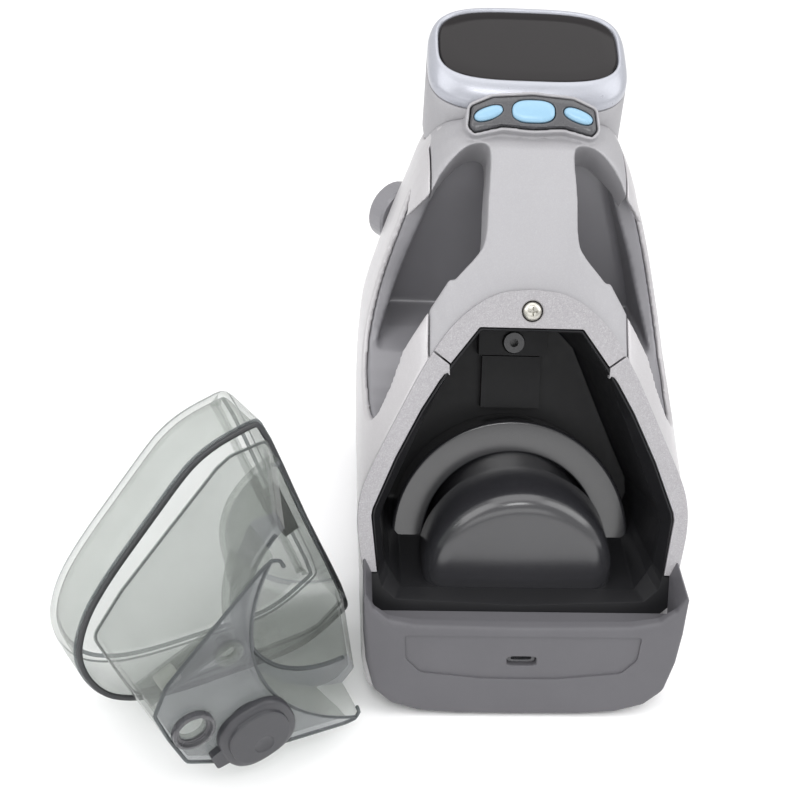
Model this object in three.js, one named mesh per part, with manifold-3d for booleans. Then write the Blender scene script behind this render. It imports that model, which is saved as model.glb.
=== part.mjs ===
// Wet dry floor scrubber, power unit with its dirty-water tank lifted out and laid beside it.
// Millimetres, +Z up, the unit faces -Y, +X is to its right as seen from the front.
// Origin: the middle of the footprint of the unit and the tank, on the floor.
import * as THREE from "three";
import { mergeVertices } from "three/addons/utils/BufferGeometryUtils.js";
import Module from "manifold-3d";

const wasm = await Module();
wasm.setup();

// ---------------------------------------------------------------- driving dimensions
const LEAN = 28; // the front rim leans back from the vertical, degrees
const GRIP_LEAN = 46; // the grip leans back from the vertical, degrees
const GAP = 0.3; // clearance between neighbouring pieces
const WALL = 2.6; // housing wall
const RIM_T = 4; // depth of the silver rim
const BEVEL_D = 8; // depth of the dark bevel round the bay
const BAY_D = 60; // depth of the tank bay behind the rim
const FLOOR_Z = 41; // height of the bay floor
const RING_D = 38; // depth of the collar's face behind the rim
const RING_H = 66; // height of the collar's centre along the rim
const RING_R = 54; // collar outside radius
const RING_IN = 40.5; // collar inside radius
const DRUM_R0 = 37.5; // motor dome radius at the collar
const DRUM_R1 = 41; // motor dome radius at its front
const DRUM_TILT = 8; // the dome's axis rises to the front, degrees
const DRUM_L = 33; // the dome stands this far out of the collar
const POD_HX = 43.4; // display pod half width
const POD_HY = 24; // display pod half depth
const POD_Y = 170; // display pod centre
const POD_TOP = 229; // height of the display face at the pod's centre
const POD_TILT = 24; // the display face drops to the front, degrees
const STRAP_T = 24; // grip depth
const TANK_G = 0.92; // tank outline against the rim outline
const COVER_D = 28.6; // depth of the tank's clear cover
const TANK_D = 60; // depth of the tank behind its gasket
const TANK_WALL = 2.2;
const OFFSET = [61.57, -70.295, 0]; // moves the model to its origin

const rad = (d) => (d * Math.PI) / 180;
const C = Math.cos(rad(LEAN)),
  S = Math.sin(rad(LEAN));

// ---------------------------------------------------------------- shape helpers
const V = (x, y, z) => new THREE.Vector3(x, y, z);
// rim frame: x across, h up along the leaning rim, d behind it
const rimMap = (d) => (x, h) => V(x, d * C + h * S, -d * S + h * C);
const yMap = (y) => (x, z) => V(x, y, z);
const zMap = (z) => (x, y) => V(x, y, z);
const xMap = (x) => (y, z) => V(x, y, z);

function manifold(geometry) {
  const g = geometry.index ? geometry.toNonIndexed() : geometry.clone();
  g.deleteAttribute("normal");
  g.deleteAttribute("uv");
  const m = mergeVertices(g, 1e-4);
  const out = new wasm.Manifold(
    new wasm.Mesh({
      numProp: 3,
      vertProperties: m.attributes.position.array,
      triVerts: new Uint32Array(m.index.array),
    }),
  );
  return out;
}

// A closed skin through loops of equal point count, each placed by its own map.
function loft(loops, maps) {
  const n = loops[0].length,
    pos = [],
    idx = [];
  loops.forEach((loop, i) =>
    loop.forEach(([a, b]) => pos.push(...maps[i](a, b).toArray())),
  );
  for (let i = 0; i + 1 < loops.length; i++)
    for (let k = 0; k < n; k++) {
      const a = i * n + k,
        b = i * n + ((k + 1) % n),
        c = a + n,
        d = b + n;
      idx.push(a, b, d, a, d, c);
    }
  // each cap's triangles run with the loop at the far end and against it at the near end
  const cap = (i, sense) => {
    const pts = loops[i].map(([a, b]) => new THREE.Vector2(a, b));
    const turn = Math.sign(THREE.ShapeUtils.area(pts)) * sense;
    let tris = THREE.ShapeUtils.triangulateShape(pts, []).map((t) => [...t]);
    const signed = ([a, b, c]) =>
      (pts[b].x - pts[a].x) * (pts[c].y - pts[a].y) -
      (pts[b].y - pts[a].y) * (pts[c].x - pts[a].x);
    if (tris.length !== n - 2 || tris.some((t) => Math.abs(signed(t)) < 1e-9)) {
      // points in a straight line get dropped, so fan out from the middle instead
      const mid = new THREE.Vector2();
      pts.forEach((p) => mid.add(p));
      mid.divideScalar(n);
      pts.push(mid);
      tris = loops[i].map((_, k) => [k, (k + 1) % n, n]);
    }
    let midIndex = -1;
    if (pts.length > n) {
      midIndex = pos.length / 3;
      pos.push(...maps[i](pts[n].x, pts[n].y).toArray());
    }
    tris.forEach((t) => {
      if (signed(t) * turn < 0) t.reverse();
      idx.push(...t.map((k) => (k === n ? midIndex : k + i * n)));
    });
  };
  cap(0, -1);
  cap(loops.length - 1, 1);
  const g = new THREE.BufferGeometry();
  g.setAttribute("position", new THREE.Float32BufferAttribute(pos, 3));
  g.setIndex(idx);
  // turn it out if the maps mirrored it
  let vol = 0;
  const p = (i) => V(pos[3 * i], pos[3 * i + 1], pos[3 * i + 2]);
  for (let t = 0; t < idx.length; t += 3)
    vol += p(idx[t]).dot(p(idx[t + 1]).cross(p(idx[t + 2])));
  if (vol < 0)
    for (let t = 0; t < idx.length; t += 3) {
      const q = idx[t + 1];
      idx[t + 1] = idx[t + 2];
      idx[t + 2] = q;
    }
  g.setIndex(idx);
  return manifold(g);
}
const prism = (loop, m0, m1) => loft([loop, loop], [m0, m1]);
// mirrors a half profile that runs from the bottom middle to the top middle
function mirror(half) {
  const L = half.filter(([x]) => x > 1e-6).map(([x, y]) => [-x, y]);
  return [...half, ...L.reverse()];
}
// moves a loop inwards by t, with mitred corners
function inset(loop, t) {
  const n = loop.length;
  const area = THREE.ShapeUtils.area(
    loop.map(([a, b]) => new THREE.Vector2(a, b)),
  );
  const s = area > 0 ? 1 : -1;
  return loop.map((p, i) => {
    const a = loop[(i + n - 1) % n],
      b = loop[(i + 1) % n];
    const e1 = new THREE.Vector2(p[0] - a[0], p[1] - a[1]).normalize();
    const e2 = new THREE.Vector2(b[0] - p[0], b[1] - p[1]).normalize();
    const n1 = new THREE.Vector2(-e1.y * s, e1.x * s),
      n2 = new THREE.Vector2(-e2.y * s, e2.x * s);
    const m = n1.clone().add(n2);
    const k = t / Math.max(0.35, 1 + n1.dot(n2));
    return [p[0] + m.x * k, p[1] + m.y * k];
  });
}
const grow = (loop, t) => inset(loop, -t);
function ellipse(rx, ry, n, cx = 0, cy = 0, p = 2) {
  const out = [];
  for (let i = 0; i < n; i++) {
    const t = (i / n) * 2 * Math.PI,
      c = Math.cos(t),
      s = Math.sin(t);
    out.push([
      cx + rx * Math.sign(c) * Math.abs(c) ** (2 / p),
      cy + ry * Math.sign(s) * Math.abs(s) ** (2 / p),
    ]);
  }
  return out;
}
function place(geometry, pos, axis) {
  // turns a geometry whose own axis is +Y onto axis, then moves it
  const q = new THREE.Quaternion().setFromUnitVectors(
    V(0, 1, 0),
    axis.clone().normalize(),
  );
  geometry.applyMatrix4(
    new THREE.Matrix4().compose(pos, q, new THREE.Vector3(1, 1, 1)),
  );
  return manifold(geometry);
}
// a cylinder from pos along axis
function cyl(r, len, pos, axis, seg = 32, r2 = r) {
  const g = new THREE.CylinderGeometry(r2, r, len, seg, 1);
  g.translate(0, len / 2, 0);
  return place(g, pos, axis);
}
// a turned piece: profile of [radius, height] that starts and ends on the axis or closes on itself
function turned(profile, pos, axis, seg = 40) {
  const g = new THREE.LatheGeometry(
    profile.map(([r, h]) => new THREE.Vector2(r, h)),
    seg,
  );
  return place(g, pos, axis);
}
function box(sx, sy, sz, x, y, z) {
  const g = new THREE.BoxGeometry(sx, sy, sz);
  g.translate(x, y, z);
  return manifold(g);
}
// box in the rim frame
const rimBox = (x0, x1, d0, d1, h0, h1) =>
  prism(
    [
      [x0, h0],
      [x1, h0],
      [x1, h1],
      [x0, h1],
    ],
    rimMap(d0),
    rimMap(d1),
  );

const group = new THREE.Group();
const stock = new Map();
function add(name, man, color, roughness, metalness, parent = group) {
  stock.set(name, { man, color, roughness, metalness, parent });
}
const biggest = (m) =>
  m.decompose().sort((a, b) => b.volume() - a.volume())[0];
// cut a piece back from its neighbours, leaving a clearance t all round
function clearOf(name, neighbours, t = GAP) {
  const piece = stock.get(name);
  for (const other of neighbours) {
    const { man } = stock.get(other);
    piece.man = piece.man.subtract(man);
    for (const d of [[t, 0, 0], [-t, 0, 0], [0, t, 0], [0, -t, 0], [0, 0, t], [0, 0, -t]])
      piece.man = piece.man.subtract(man.translate(d));
  }
  piece.man = biggest(piece.man);
}
function finish() {
  for (const [name, { man, color, roughness, metalness, parent }] of stock) {
    const m = man.getMesh(),
      n = m.numProp,
      v = new Float32Array(m.numVert * 3);
    for (let i = 0; i < m.numVert; i++)
      v.set(m.vertProperties.subarray(i * n, i * n + 3), i * 3);
    const g = new THREE.BufferGeometry();
    g.setAttribute("position", new THREE.BufferAttribute(v, 3));
    g.setIndex(new THREE.BufferAttribute(m.triVerts, 1));
    g.computeVertexNormals();
    const mesh = new THREE.Mesh(
      g,
      new THREE.MeshStandardMaterial({
        color,
        roughness,
        metalness,
        transparent: color === CLEAR,
        opacity: color === CLEAR ? 0.4 : 1,
      }),
    );
    mesh.name = name;
    parent.add(mesh);
  }
}
const CLEAR = 0x9da39c,
  SILVER = 0xb9b8bd,
  SHELL = 0xd4d3d6,
  RIM = 0xa6a5a9,
  DARK = 0x4a4a4e,
  CHIN = 0x5c5b5f,
  BLACK = 0x1c1c1e,
  STEEL = 0xb8b8b8;

// ---------------------------------------------------------------- outlines
// rim outline, half, in (x, h)
const rimHalf = [
  [67.1, 60],
  [68.7, 69.5],
  [69.95, 79.5],
  [69.8, 88.3],
  [68.2, 96.3],
  [64.9, 104.7],
  [59.5, 116],
  [52.9, 129.6],
  [46, 143.5],
  [40.2, 153.8],
  [34, 162.8],
  [26.7, 170.3],
  [19, 175.8],
  [11.4, 178.8],
  [0, 180.1],
];
const archInner = [
  [33.3, 148.7],
  [21.6, 164.3],
];
const bandInner = [
  [61.2, 60],
  [64.2, 84.1],
  [63.7, 87.3],
  [54.8, 109.2],
  [44.7, 129.6],
  [33.3, 148.7],
  [21.6, 164.3],
  [0, 164.3],
];
const bevelHalf = [
  [0, 51.6],
  [50.4, 51.8],
  [58, 63.5],
  [60.3, 81.4],
  [58.9, 87],
  [46.2, 117.1],
  [35, 143],
  [22.7, 162],
  [0, 162.2],
];
// outside of the housing: one loop on the rim plane, then vertical sections going back
const secA = [
  [0, 5],
  [58, 5],
  [65.5, 14],
  [66.9, 60],
  [69.7, 79.5],
  [69.6, 88.3],
  [68, 96.3],
  [64.6, 104.7],
  [52.6, 129.6],
  [39.9, 153.8],
  [26.4, 170.2],
  [11.3, 178.6],
  [0, 179.9],
];
const secB = [
  [0, 4],
  [60, 4],
  [66, 12],
  [69, 50],
  [69.9, 78],
  [69.6, 95],
  [68.3, 112],
  [64, 130],
  [58.4, 149],
  [51.5, 168],
  [43, 187],
  [31, 199],
  [0, 201],
];
const secC = [
  [0, 4],
  [59, 4],
  [65, 12],
  [67.5, 50],
  [68, 78],
  [67.6, 95],
  [66.3, 112],
  [62, 130],
  [56.5, 149],
  [50, 168],
  [43.5, 187],
  [33, 203],
  [0, 206],
];
const secD = [
  [0, 9],
  [48, 9],
  [54, 17],
  [56.5, 50],
  [57, 78],
  [56.6, 95],
  [55.5, 112],
  [52.5, 130],
  [48, 148],
  [43, 164],
  [37, 179],
  [27, 190],
  [0, 193],
];
const outSections = (t, dy = 0) =>
  loft(
    [secA, secB, secC, secD].map((s) =>
      t ? inset(mirror(s), t) : mirror(s),
    ),
    [rimMap(RIM_T + GAP + dy), yMap(128), yMap(168), yMap(196 - dy)],
  );

// ---------------------------------------------------------------- housing volumes
const outer = outSections(0);
const inner = outSections(WALL, WALL);
// grip line: starts at the top of the rim and leans back
const gy0 = 180.1 * S,
  gz0 = 180.1 * C;
const GS = Math.sin(rad(GRIP_LEAN)),
  GC = Math.cos(rad(GRIP_LEAN));
// grip frame: x across, s up along the grip, d under its top face
const gripMap = (d) => (x, s) =>
  V(x, gy0 + s * GS + d * GC, gz0 + s * GC - d * GS);
const gripHalf = [
  [0, -14],
  [46, -14],
  [40, -4],
  [33.5, 3.5],
  [28, 9.5],
  [23, 15],
  [20, 20],
  [18.6, 40],
  [18, 62],
  [22, 67],
  [30, 71],
  [30, 78],
  [0, 82],
];
const gripBlock = prism(mirror(gripHalf), gripMap(-6), gripMap(STRAP_T));
// hand opening, seen from the side, in (y, z)
const handSide = [
  [71.4, 100.2],
  [92, 139],
  [99, 152],
  [70, 175],
  [110, 215],
  [140, 217],
  [149, 203],
  [142, 188],
  [134, 160],
  [128, 130],
  [112, 108],
];
// seat of the bay, kept solid inside the hand opening
const bayOutHalf = [
  [0, 47],
  [53, 47.5],
  [61.5, 62],
  [63.6, 82],
  [62, 88.5],
  [49, 118.5],
  [37.3, 145.2],
  [24.5, 165.6],
  [0, 165.8],
];
const bayBackOut = [
  [0, 70],
  [57, 70.5],
  [60.2, 77],
  [60.6, 84],
  [60, 92],
  [46, 121],
  [32, 152.5],
  [20.5, 164.6],
  [0, 164.8],
];
const bayBackIn = [
  [0, (FLOOR_Z + BAY_D * S) / C],
  [53, (FLOOR_Z + BAY_D * S) / C + 0.1],
  [56.6, 80],
  [57, 84],
  [56.4, 91],
  [43, 119.5],
  [29, 151],
  [18.6, 161.4],
  [0, 161.6],
];
const bayOutVol = (t = 0) =>
  loft(
    [bayOutHalf, bayBackOut].map((s) =>
      t ? grow(mirror(s), t) : mirror(s),
    ),
    [rimMap(RIM_T + GAP), rimMap(BAY_D + 3 + t)],
  );
const hand = prism(handSide, xMap(-90), xMap(90));
// the grip's underside and the palm hollow behind it
const palm = loft(
  [inset(mirror(secB), 6.5), inset(mirror(secC), 9)],
  [yMap(112), yMap(149)],
).subtract(
  prism(
    [
      [60, 0],
      [180, 0],
      [180, 112],
      [128, 112],
      [60, 96],
    ],
    xMap(-90),
    xMap(90),
  ),
);
const seat = bayOutVol(2.9);
const cut = hand.add(palm).subtract(gripBlock).subtract(seat);
// display pod column and the way it is cut off at the top
const podLoop = (t) => ellipse(POD_HX + t, POD_HY + t, 44, 0, POD_Y, 3.4);
const TT = Math.tan(rad(POD_TILT));
const podCol = (t, z0, drop) =>
  prism(podLoop(t), zMap(z0), zMap(262)).subtract(
    prism(
      [
        [POD_Y - 60, POD_TOP - 60 * TT - drop],
        [POD_Y + 60, POD_TOP + 60 * TT - drop],
        [POD_Y + 60, 320],
        [POD_Y - 60, 320],
      ],
      xMap(-80),
      xMap(80),
    ),
  );
const POD_Z0 = 188;

let body = outer.subtract(inner).subtract(cut);
const gripSolid = gripBlock.intersect(outer);
const podHole = podCol(GAP, POD_Z0 - GAP, -10);

// bay mouth: everything inside the rim, back to the bay's back wall
const mouth = loft(
  [grow(mirror(bayOutHalf), 0.5), grow(mirror(bayBackOut), 0.5)],
  [rimMap(-20), rimMap(BAY_D + 3.6)],
);

// ---------------------------------------------------------------- housing pieces
const big = 400;
const half = (sx) => box(big, big, big, sx * (big / 2 + GAP / 2), 100, 100);
const rearY = 176;
const behind = (y) => box(big, big, big, 0, y + big / 2, 100);
const before = (y) => box(big, big, big, 0, y - big / 2, 100);
// handle cover: the grip and its shoulders down to the rim's arch
const handleZone = prism(
  mirror([
    [0, 150],
    [41.5, 150],
    [41.5, 300],
    [0, 300],
  ]),
  rimMap(-30),
  rimMap(200),
).intersect(before(146));
const handleZoneGrow = prism(
  mirror([
    [0, 150 - GAP],
    [41.5 + GAP, 150 - GAP],
    [41.5 + GAP, 300],
    [0, 300],
  ]),
  rimMap(-30),
  rimMap(200),
).intersect(before(146 + GAP));
// dark lining of the hand opening: its rear wall, and the cover over the bay
const inGap = [[GAP, 0, 0], [-GAP, 0, 0], [0, GAP, 0], [0, -GAP, 0], [0, 0, GAP], [0, 0, -GAP]]
  .map((t) => inner.translate(t))
  .reduce((a, b) => a.intersect(b));
const wellGrown = [[0, 2.6, 0], [0, 0, -2.6], [2.1, 1.1, -0.5], [-2.1, 1.1, -0.5]]
  .map((t) => cut.translate(t))
  .reduce((a, b) => a.add(b), cut);
const handWell = wellGrown
  .subtract(cut)
  .intersect(inGap)
  .subtract(gripBlock)
  .subtract(podHole)
  .subtract(rimBox(-90, 90, -40, RIM_T + 2, -40, 400));
const shellAll = body
  .subtract(mouth)
  .subtract(podHole)
  .subtract(rimBox(-90, 90, -40, RIM_T + GAP, -40, 400));

const gripTopZone = prism(mirror(gripHalf), gripMap(-8), gripMap(11));
const gripLowZone = prism(mirror(gripHalf), gripMap(11 + GAP), gripMap(STRAP_T + 1));
const gripHollow = prism(
  inset(mirror(gripHalf), 2.4),
  gripMap(2.4),
  gripMap(STRAP_T - 2.4),
);
// button panel outline, half, in (x, s) on the grip
const clusterHalf = [
  [0, 67.2],
  [13.5, 68.2],
  [26.2, 64.6],
  [28, 68],
  [26.8, 78.4],
  [17, 82.3],
  [0, 84],
];
const clusterSeat = prism(
  grow(mirror(clusterHalf), GAP),
  gripMap(-12),
  gripMap(5 + GAP),
);
const clusterBore = prism(
  inset(mirror(clusterHalf), 2.5),
  gripMap(-12),
  gripMap(14),
);
const handleCover = shellAll
  .add(gripSolid.subtract(gripHollow).subtract(mouth).subtract(podHole))
  .intersect(handleZone)
  .subtract(rimBox(-90, 90, -40, RIM_T + GAP, -40, 400))
  .subtract(clusterSeat)
  .subtract(clusterBore)
  .subtract(gripLowZone.subtract(prism(mirror([[0, -20], [60, -20], [60, 12], [0, 12]]), gripMap(-20), gripMap(40))));
add("handle_cover", biggest(handleCover), SILVER, 0.42, 0.35);
add("hand_well", biggest(handWell), DARK, 0.45, 0);
const gripLower = gripSolid
  .subtract(gripHollow)
  .intersect(gripLowZone)
  .intersect(prism(mirror([[0, 12 + GAP], [60, 12 + GAP], [60, 64], [0, 64]]), gripMap(0), gripMap(40)))
  .subtract(podHole);
add("grip_underside", biggest(gripLower), DARK, 0.6, 0);

const sideCut = (sx) =>
  shellAll
    .intersect(half(sx))
    .intersect(before(rearY))
    .subtract(handleZoneGrow);
add("left_side_shell", biggest(sideCut(-1)), SHELL, 0.4, 0.3);
add("right_side_shell", biggest(sideCut(1)), SHELL, 0.4, 0.3);
add(
  "rear_cover",
  biggest(shellAll.intersect(behind(rearY + GAP))),
  SHELL,
  0.4,
  0.3,
);


// ---------------------------------------------------------------- display pod
// pod frame: x across, v up the slope of the display face, d under it
const PT = rad(POD_TILT);
const podMap = (d) => (x, v) =>
  V(
    x,
    POD_Y + v * Math.cos(PT) + d * Math.sin(PT),
    POD_TOP + v * Math.sin(PT) - d * Math.cos(PT),
  );
const podV = POD_HY / Math.cos(PT);
const podEll = (rx, rv, d, n = 44, dv = 0) =>
  ellipse(rx, rv, n, 0, dv - d * TT, 3.4);
const BEZEL_T = 8.5;
const bezel = loft(
  [
    podEll(POD_HX - 3.4, podV - 4.6, 0, 44, 1.6),
    podEll(POD_HX - 1.2, podV - 1.6, 1.2, 44, 0.9),
    podEll(POD_HX, podV, 5, 44, 0),
    podEll(POD_HX, podV, BEZEL_T),
  ],
  [podMap(0), podMap(1.2), podMap(5), podMap(BEZEL_T)],
)
  .subtract(
    prism(podEll(POD_HX - 4.4, podV - 5.6, 0, 44, 1.6), podMap(-2), podMap(2.6)),
  )
  .subtract(
    prism(podEll(POD_HX - 7, podV - 8, 0, 36, 1.6), podMap(-2), podMap(BEZEL_T + 2)),
  );
add("display_bezel", bezel, SILVER, 0.25, 0.7);
add(
  "display_lens",
  loft(
    [
      podEll(POD_HX - 5.6, podV - 6.8, 0, 44, 1.6),
      podEll(POD_HX - 4.7, podV - 5.9, 0, 44, 1.6),
      podEll(POD_HX - 4.7, podV - 5.9, 0, 44, 1.6),
    ],
    [podMap(0.1), podMap(0.7), podMap(2.3)],
  ),
  0x35312f,
  0.12,
  0,
);
add(
  "display_board",
  prism(podEll(POD_HX - 8, podV - 9, 0, 28, 1.6), podMap(3.2), podMap(4.8)),
  0x1f5c3a,
  0.6,
  0,
);
const podShell = podCol(0, POD_Z0, (BEZEL_T + GAP) / Math.cos(PT)).subtract(
  podCol(-2.4, POD_Z0 + 3, -20),
);
add("pod_shell", biggest(podShell), 0x8f8f93, 0.45, 0.3);

// ---------------------------------------------------------------- buttons
const buttonLoop = (k, t) => {
  if (k === 0) return ellipse(9 + t, 4.9 + t, 28, 0, 76, 2.7);
  const a = rad(k * -22);
  return ellipse(6.3 + t, 2.7 + t, 24, 0, 0, 2.3).map(([x, y]) => [
    k * 18.9 + x * Math.cos(a) - y * Math.sin(a),
    74.6 + x * Math.sin(a) + y * Math.cos(a),
  ]);
};
let panel = loft(
  [inset(mirror(clusterHalf), 1.2), mirror(clusterHalf), mirror(clusterHalf)],
  [gripMap(-3.2), gripMap(-2.2), gripMap(5)],
);
for (const k of [-1, 0, 1])
  panel = panel.subtract(prism(buttonLoop(k, GAP), gripMap(-9), gripMap(9)));
add("button_panel", panel, 0x7c7c80, 0.35, 0.4);
const buttonNames = { 0: "power_button", "-1": "mode_button", 1: "boost_button" };
for (const k of [0, -1, 1])
  add(
    buttonNames[k],
    loft(
      [buttonLoop(k, -0.9), buttonLoop(k, 0), buttonLoop(k, 0)],
      [gripMap(-3.9), gripMap(-3.3), gripMap(4.6)],
    ).intersect(before(145.1)),
    0xb9e3f7,
    0.3,
    0,
  );
add(
  "button_board",
  prism(inset(mirror(clusterHalf), 3.4), gripMap(6.2), gripMap(7.8)),
  0x1f5c3a,
  0.6,
  0,
);

// ---------------------------------------------------------------- rim round the bay
const rimRing = prism(mirror(rimHalf), rimMap(0), rimMap(RIM_T)).subtract(
  prism(
    mirror([[0, 40], ...bandInner.map(([x, h], i) => (i ? [x, h] : [x, 40]))]),
    rimMap(-1),
    rimMap(RIM_T + 1),
  ),
);
// the arch parts from the side bands along a slanted line
const splitZone = (sx, t) =>
  prism(
    [
      [sx * (33.3 - 8 * 0.804 - 20 * 0.594), 148.7 - 8 * 0.594 + 20 * 0.804 + t],
      [sx * (33.3 - 14 * 0.804), 148.7 - 14 * 0.594 + t],
      [sx * (40.2 + 14 * 0.804), 153.8 + 14 * 0.594 + t],
      [sx * 54, 210],
      [0, 214],
      [0, 170],
    ],
    rimMap(-2),
    rimMap(RIM_T + 2),
  );
const archZone = splitZone(1, 0.3).add(splitZone(-1, 0.3));
const archZoneLow = splitZone(1, -0.3).add(splitZone(-1, -0.3));
const screwPos = rimMap(-0.6)(0, 171.2);
const N = V(0, C, -S),
  U = V(0, S, C);
const screwHole = cyl(4.5, 12, rimMap(-4)(0, 171.2), N, 24);
add("rim_arch", biggest(rimRing.intersect(archZone).subtract(screwHole)), RIM, 0.5, 0.5);
const bands = rimRing.subtract(archZoneLow);
add("rim_left", biggest(bands.intersect(half(-1))), RIM, 0.5, 0.5);
add("rim_right", biggest(bands.intersect(half(1))), RIM, 0.5, 0.5);
add(
  "rim_screw",
  cyl(4.1, 4.0, screwPos, N, 24).subtract(
    prism(
      [
        [-2.4, 170.8],
        [2.4, 170.8],
        [2.4, 171.6],
        [-2.4, 171.6],
      ],
      rimMap(-2),
      rimMap(0.8),
    ),
  ),
  0xd0cfca,
  0.3,
  0.9,
);

// ---------------------------------------------------------------- bay
const bevFront = [
  [0, 46.5],
  [53, 48.6],
  [61.5, 57.5],
  [62.9, 84],
  [62.4, 87],
  [53.6, 108.6],
  [43.5, 129],
  [32.3, 147.6],
  [21.1, 163],
  [0, 163.1],
];
const bevBack = [
  [0, 51.6],
  [50.4, 51.8],
  [58, 63.5],
  [60.3, 81.4],
  [58.9, 87],
  [50.8, 106.2],
  [42.5, 125.6],
  [35, 143],
  [22.7, 162],
  [0, 162.2],
];
const axis = V(0, -Math.cos(rad(DRUM_TILT)), Math.sin(rad(DRUM_TILT)));
const drumAt = (t) => rimMap(RING_D)(0, RING_H).addScaledVector(axis, t);
const drumHole = (r, t0 = -60, t1 = 60) => cyl(r, t1 - t0, drumAt(t0), axis, 56);
const bevIn = loft(
  [mirror(bevFront), mirror(bevFront), mirror(bevBack), mirror(bevBack)],
  [rimMap(-3), rimMap(0.4), rimMap(BEVEL_D), rimMap(BEVEL_D + 2)],
);
const bevOuter = prism(
  inset(mirror([[0, 50], ...bandInner.map(([x, h], i) => (i ? [x, h] : [x, 50]))]), 0.4),
  rimMap(0.4),
  rimMap(BEVEL_D),
).add(
  prism(
    mirror([
      [0, 40],
      [58, 41],
      [66.3, 48],
      [66.8, 59.6],
      [0, 59.6],
    ]),
    rimMap(0.4),
    rimMap(BEVEL_D),
  ),
);
const bayBezel = bevOuter.subtract(bevIn).subtract(drumHole(DRUM_R1 + 0.8, 0, 80));
add("bay_bezel", biggest(bayBezel), DARK, 0.5, 0);

const linerIn = loft(
  [mirror(bevBack), mirror([...bayBackIn.slice(0, 5), [49.7, 105], ...bayBackIn.slice(5)])],
  [rimMap(BEVEL_D + GAP - 0.1), rimMap(BAY_D)],
);
const bayOutB = [
  [0, 47],
  [53, 47.5],
  [61.5, 62],
  [63.2, 82],
  [62, 88.5],
  [54.1, 106.5],
  [45.7, 126.5],
  [37.6, 144.8],
  [24.5, 165.4],
  [0, 165.6],
];
const bayOutK = [
  [0, 70],
  [57, 70.5],
  [60.2, 77],
  [60.6, 84],
  [60, 92],
  [53.4, 106.5],
  [46, 121],
  [32, 152.5],
  [20.5, 164.6],
  [0, 164.8],
];
const linerOut = loft(
  [mirror(bayOutB), mirror(bayOutK)],
  [rimMap(BEVEL_D + GAP), rimMap(BAY_D + 2.4)],
);
const liner = linerOut
  .subtract(linerIn)
  .subtract(drumHole(DRUM_R1 + 0.8, 0, 80))
  .subtract(drumHole(DRUM_R0 + 1.2, -60, 1));
add("bay_liner", biggest(liner), 0x3a3a3d, 0.6, 0);

const above = (z) => box(big, big, big, 0, 100, z + big / 2);
const collar = cyl(RING_R, BAY_D - RING_D - GAP, rimMap(RING_D)(0, RING_H), N, 72)
  .subtract(drumHole(RING_IN - 1.2, -60, 60))
  .intersect(above(FLOOR_Z + GAP));
add("motor_collar", biggest(collar), 0x5f5f63, 0.5, 0);
const domeProfile = [
  [0, DRUM_L],
  [30, DRUM_L],
  [34.2, DRUM_L - 0.8],
  [37.8, DRUM_L - 3],
  [40.1, DRUM_L - 6.4],
  [DRUM_R1, DRUM_L - 11],
  [DRUM_R0, 0],
  [DRUM_R0 - 0.5, -24],
  [DRUM_R0 - 2.9, -24],
  [DRUM_R0 - 2.4, 0],
  [DRUM_R1 - 2.4, DRUM_L - 11.5],
  [37.6, DRUM_L - 8],
  [35.4, DRUM_L - 5],
  [33, DRUM_L - 3.1],
  [29.6, DRUM_L - 2.4],
  [0, DRUM_L - 2.4],
];
const dome = turned([...domeProfile].reverse(), drumAt(0), axis, 72).intersect(above(9));
add("motor_dome", biggest(dome), 0x4d4d50, 0.4, 0);
add("suction_motor", cyl(24, 30, drumAt(-18), axis, 32).subtract(cyl(3.4, 40, drumAt(-20), axis, 20)), STEEL, 0.4, 0.8);
add(
  "impeller",
  turned(
    [
      [0, 15.2],
      [26, 15.2],
      [26, 17],
      [12, 23],
      [6, 25.5],
      [0, 25.5],
    ],
    drumAt(0),
    axis,
    32,
  ).add(cyl(3, 33, drumAt(-17.5), axis, 20)),
  0x8a8a8a,
  0.4,
  0.2,
);
add(
  "port_block",
  rimBox(-15.5, 15.5, BAY_D - 8, BAY_D - GAP, 147.4, 160.6).subtract(
    cyl(5.2, 6, rimMap(BAY_D - 11.4)(0, 153.4), N, 28),
  ),
  0x2c2c2f,
  0.5,
  0,
);
add(
  "port_nozzle",
  cyl(4.6, 5.2, rimMap(BAY_D - 11)(0, 153.4), N, 28).subtract(
    cyl(1.9, 8, rimMap(BAY_D - 14)(0, 153.4), N, 20),
  ),
  0x39393c,
  0.4,
  0,
);
add("duct_cover", rimBox(-13.4, 13.4, BAY_D - 4.5, BAY_D - GAP, 123, 146.6), 0x303033, 0.5, 0);

// ---------------------------------------------------------------- chin, sill and base
const chinY = (z) => -2.8 + 0.227 * z;
const chinMap = (d) => (x, z) => V(x, chinY(z) + d, z);
const chinHalf = [
  [0, 1.2],
  [26, 1.4],
  [42, 3],
  [54.5, 7],
  [61.8, 14],
  [65.6, 27],
  [66.9, 41],
  [67.2, 58.5],
  [62.4, 51.5],
  [56.5, 46.2],
  [45, 43.6],
  [0, 42.8],
];
const chinFace = mirror(chinHalf);
let chin = loft(
  [inset(chinFace, 1.6), inset(chinFace, 0.5), chinFace, chinFace],
  [chinMap(-1.2), chinMap(-0.6), chinMap(0.8), chinMap(31)],
)
  .subtract(prism([[-200, -200], [200, -200], [200, 260], [-200, 260]], rimMap(0), rimMap(120)))
  .subtract(
    // trough behind the top edge
    prism(
      [
        [chinY(43) + 4, 80],
        [chinY(43) + 4, 41.5],
        [chinY(43) + 6, 38.6],
        [40, 38.6],
        [40, 80],
      ],
      xMap(-63.6),
      xMap(63.6),
    ),
  );
const chinPanel = [
  [0, 19],
  [16, 19.2],
  [42.5, 22],
  [48.8, 28.5],
  [49.6, 39.6],
  [0, 39.6],
];
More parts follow.
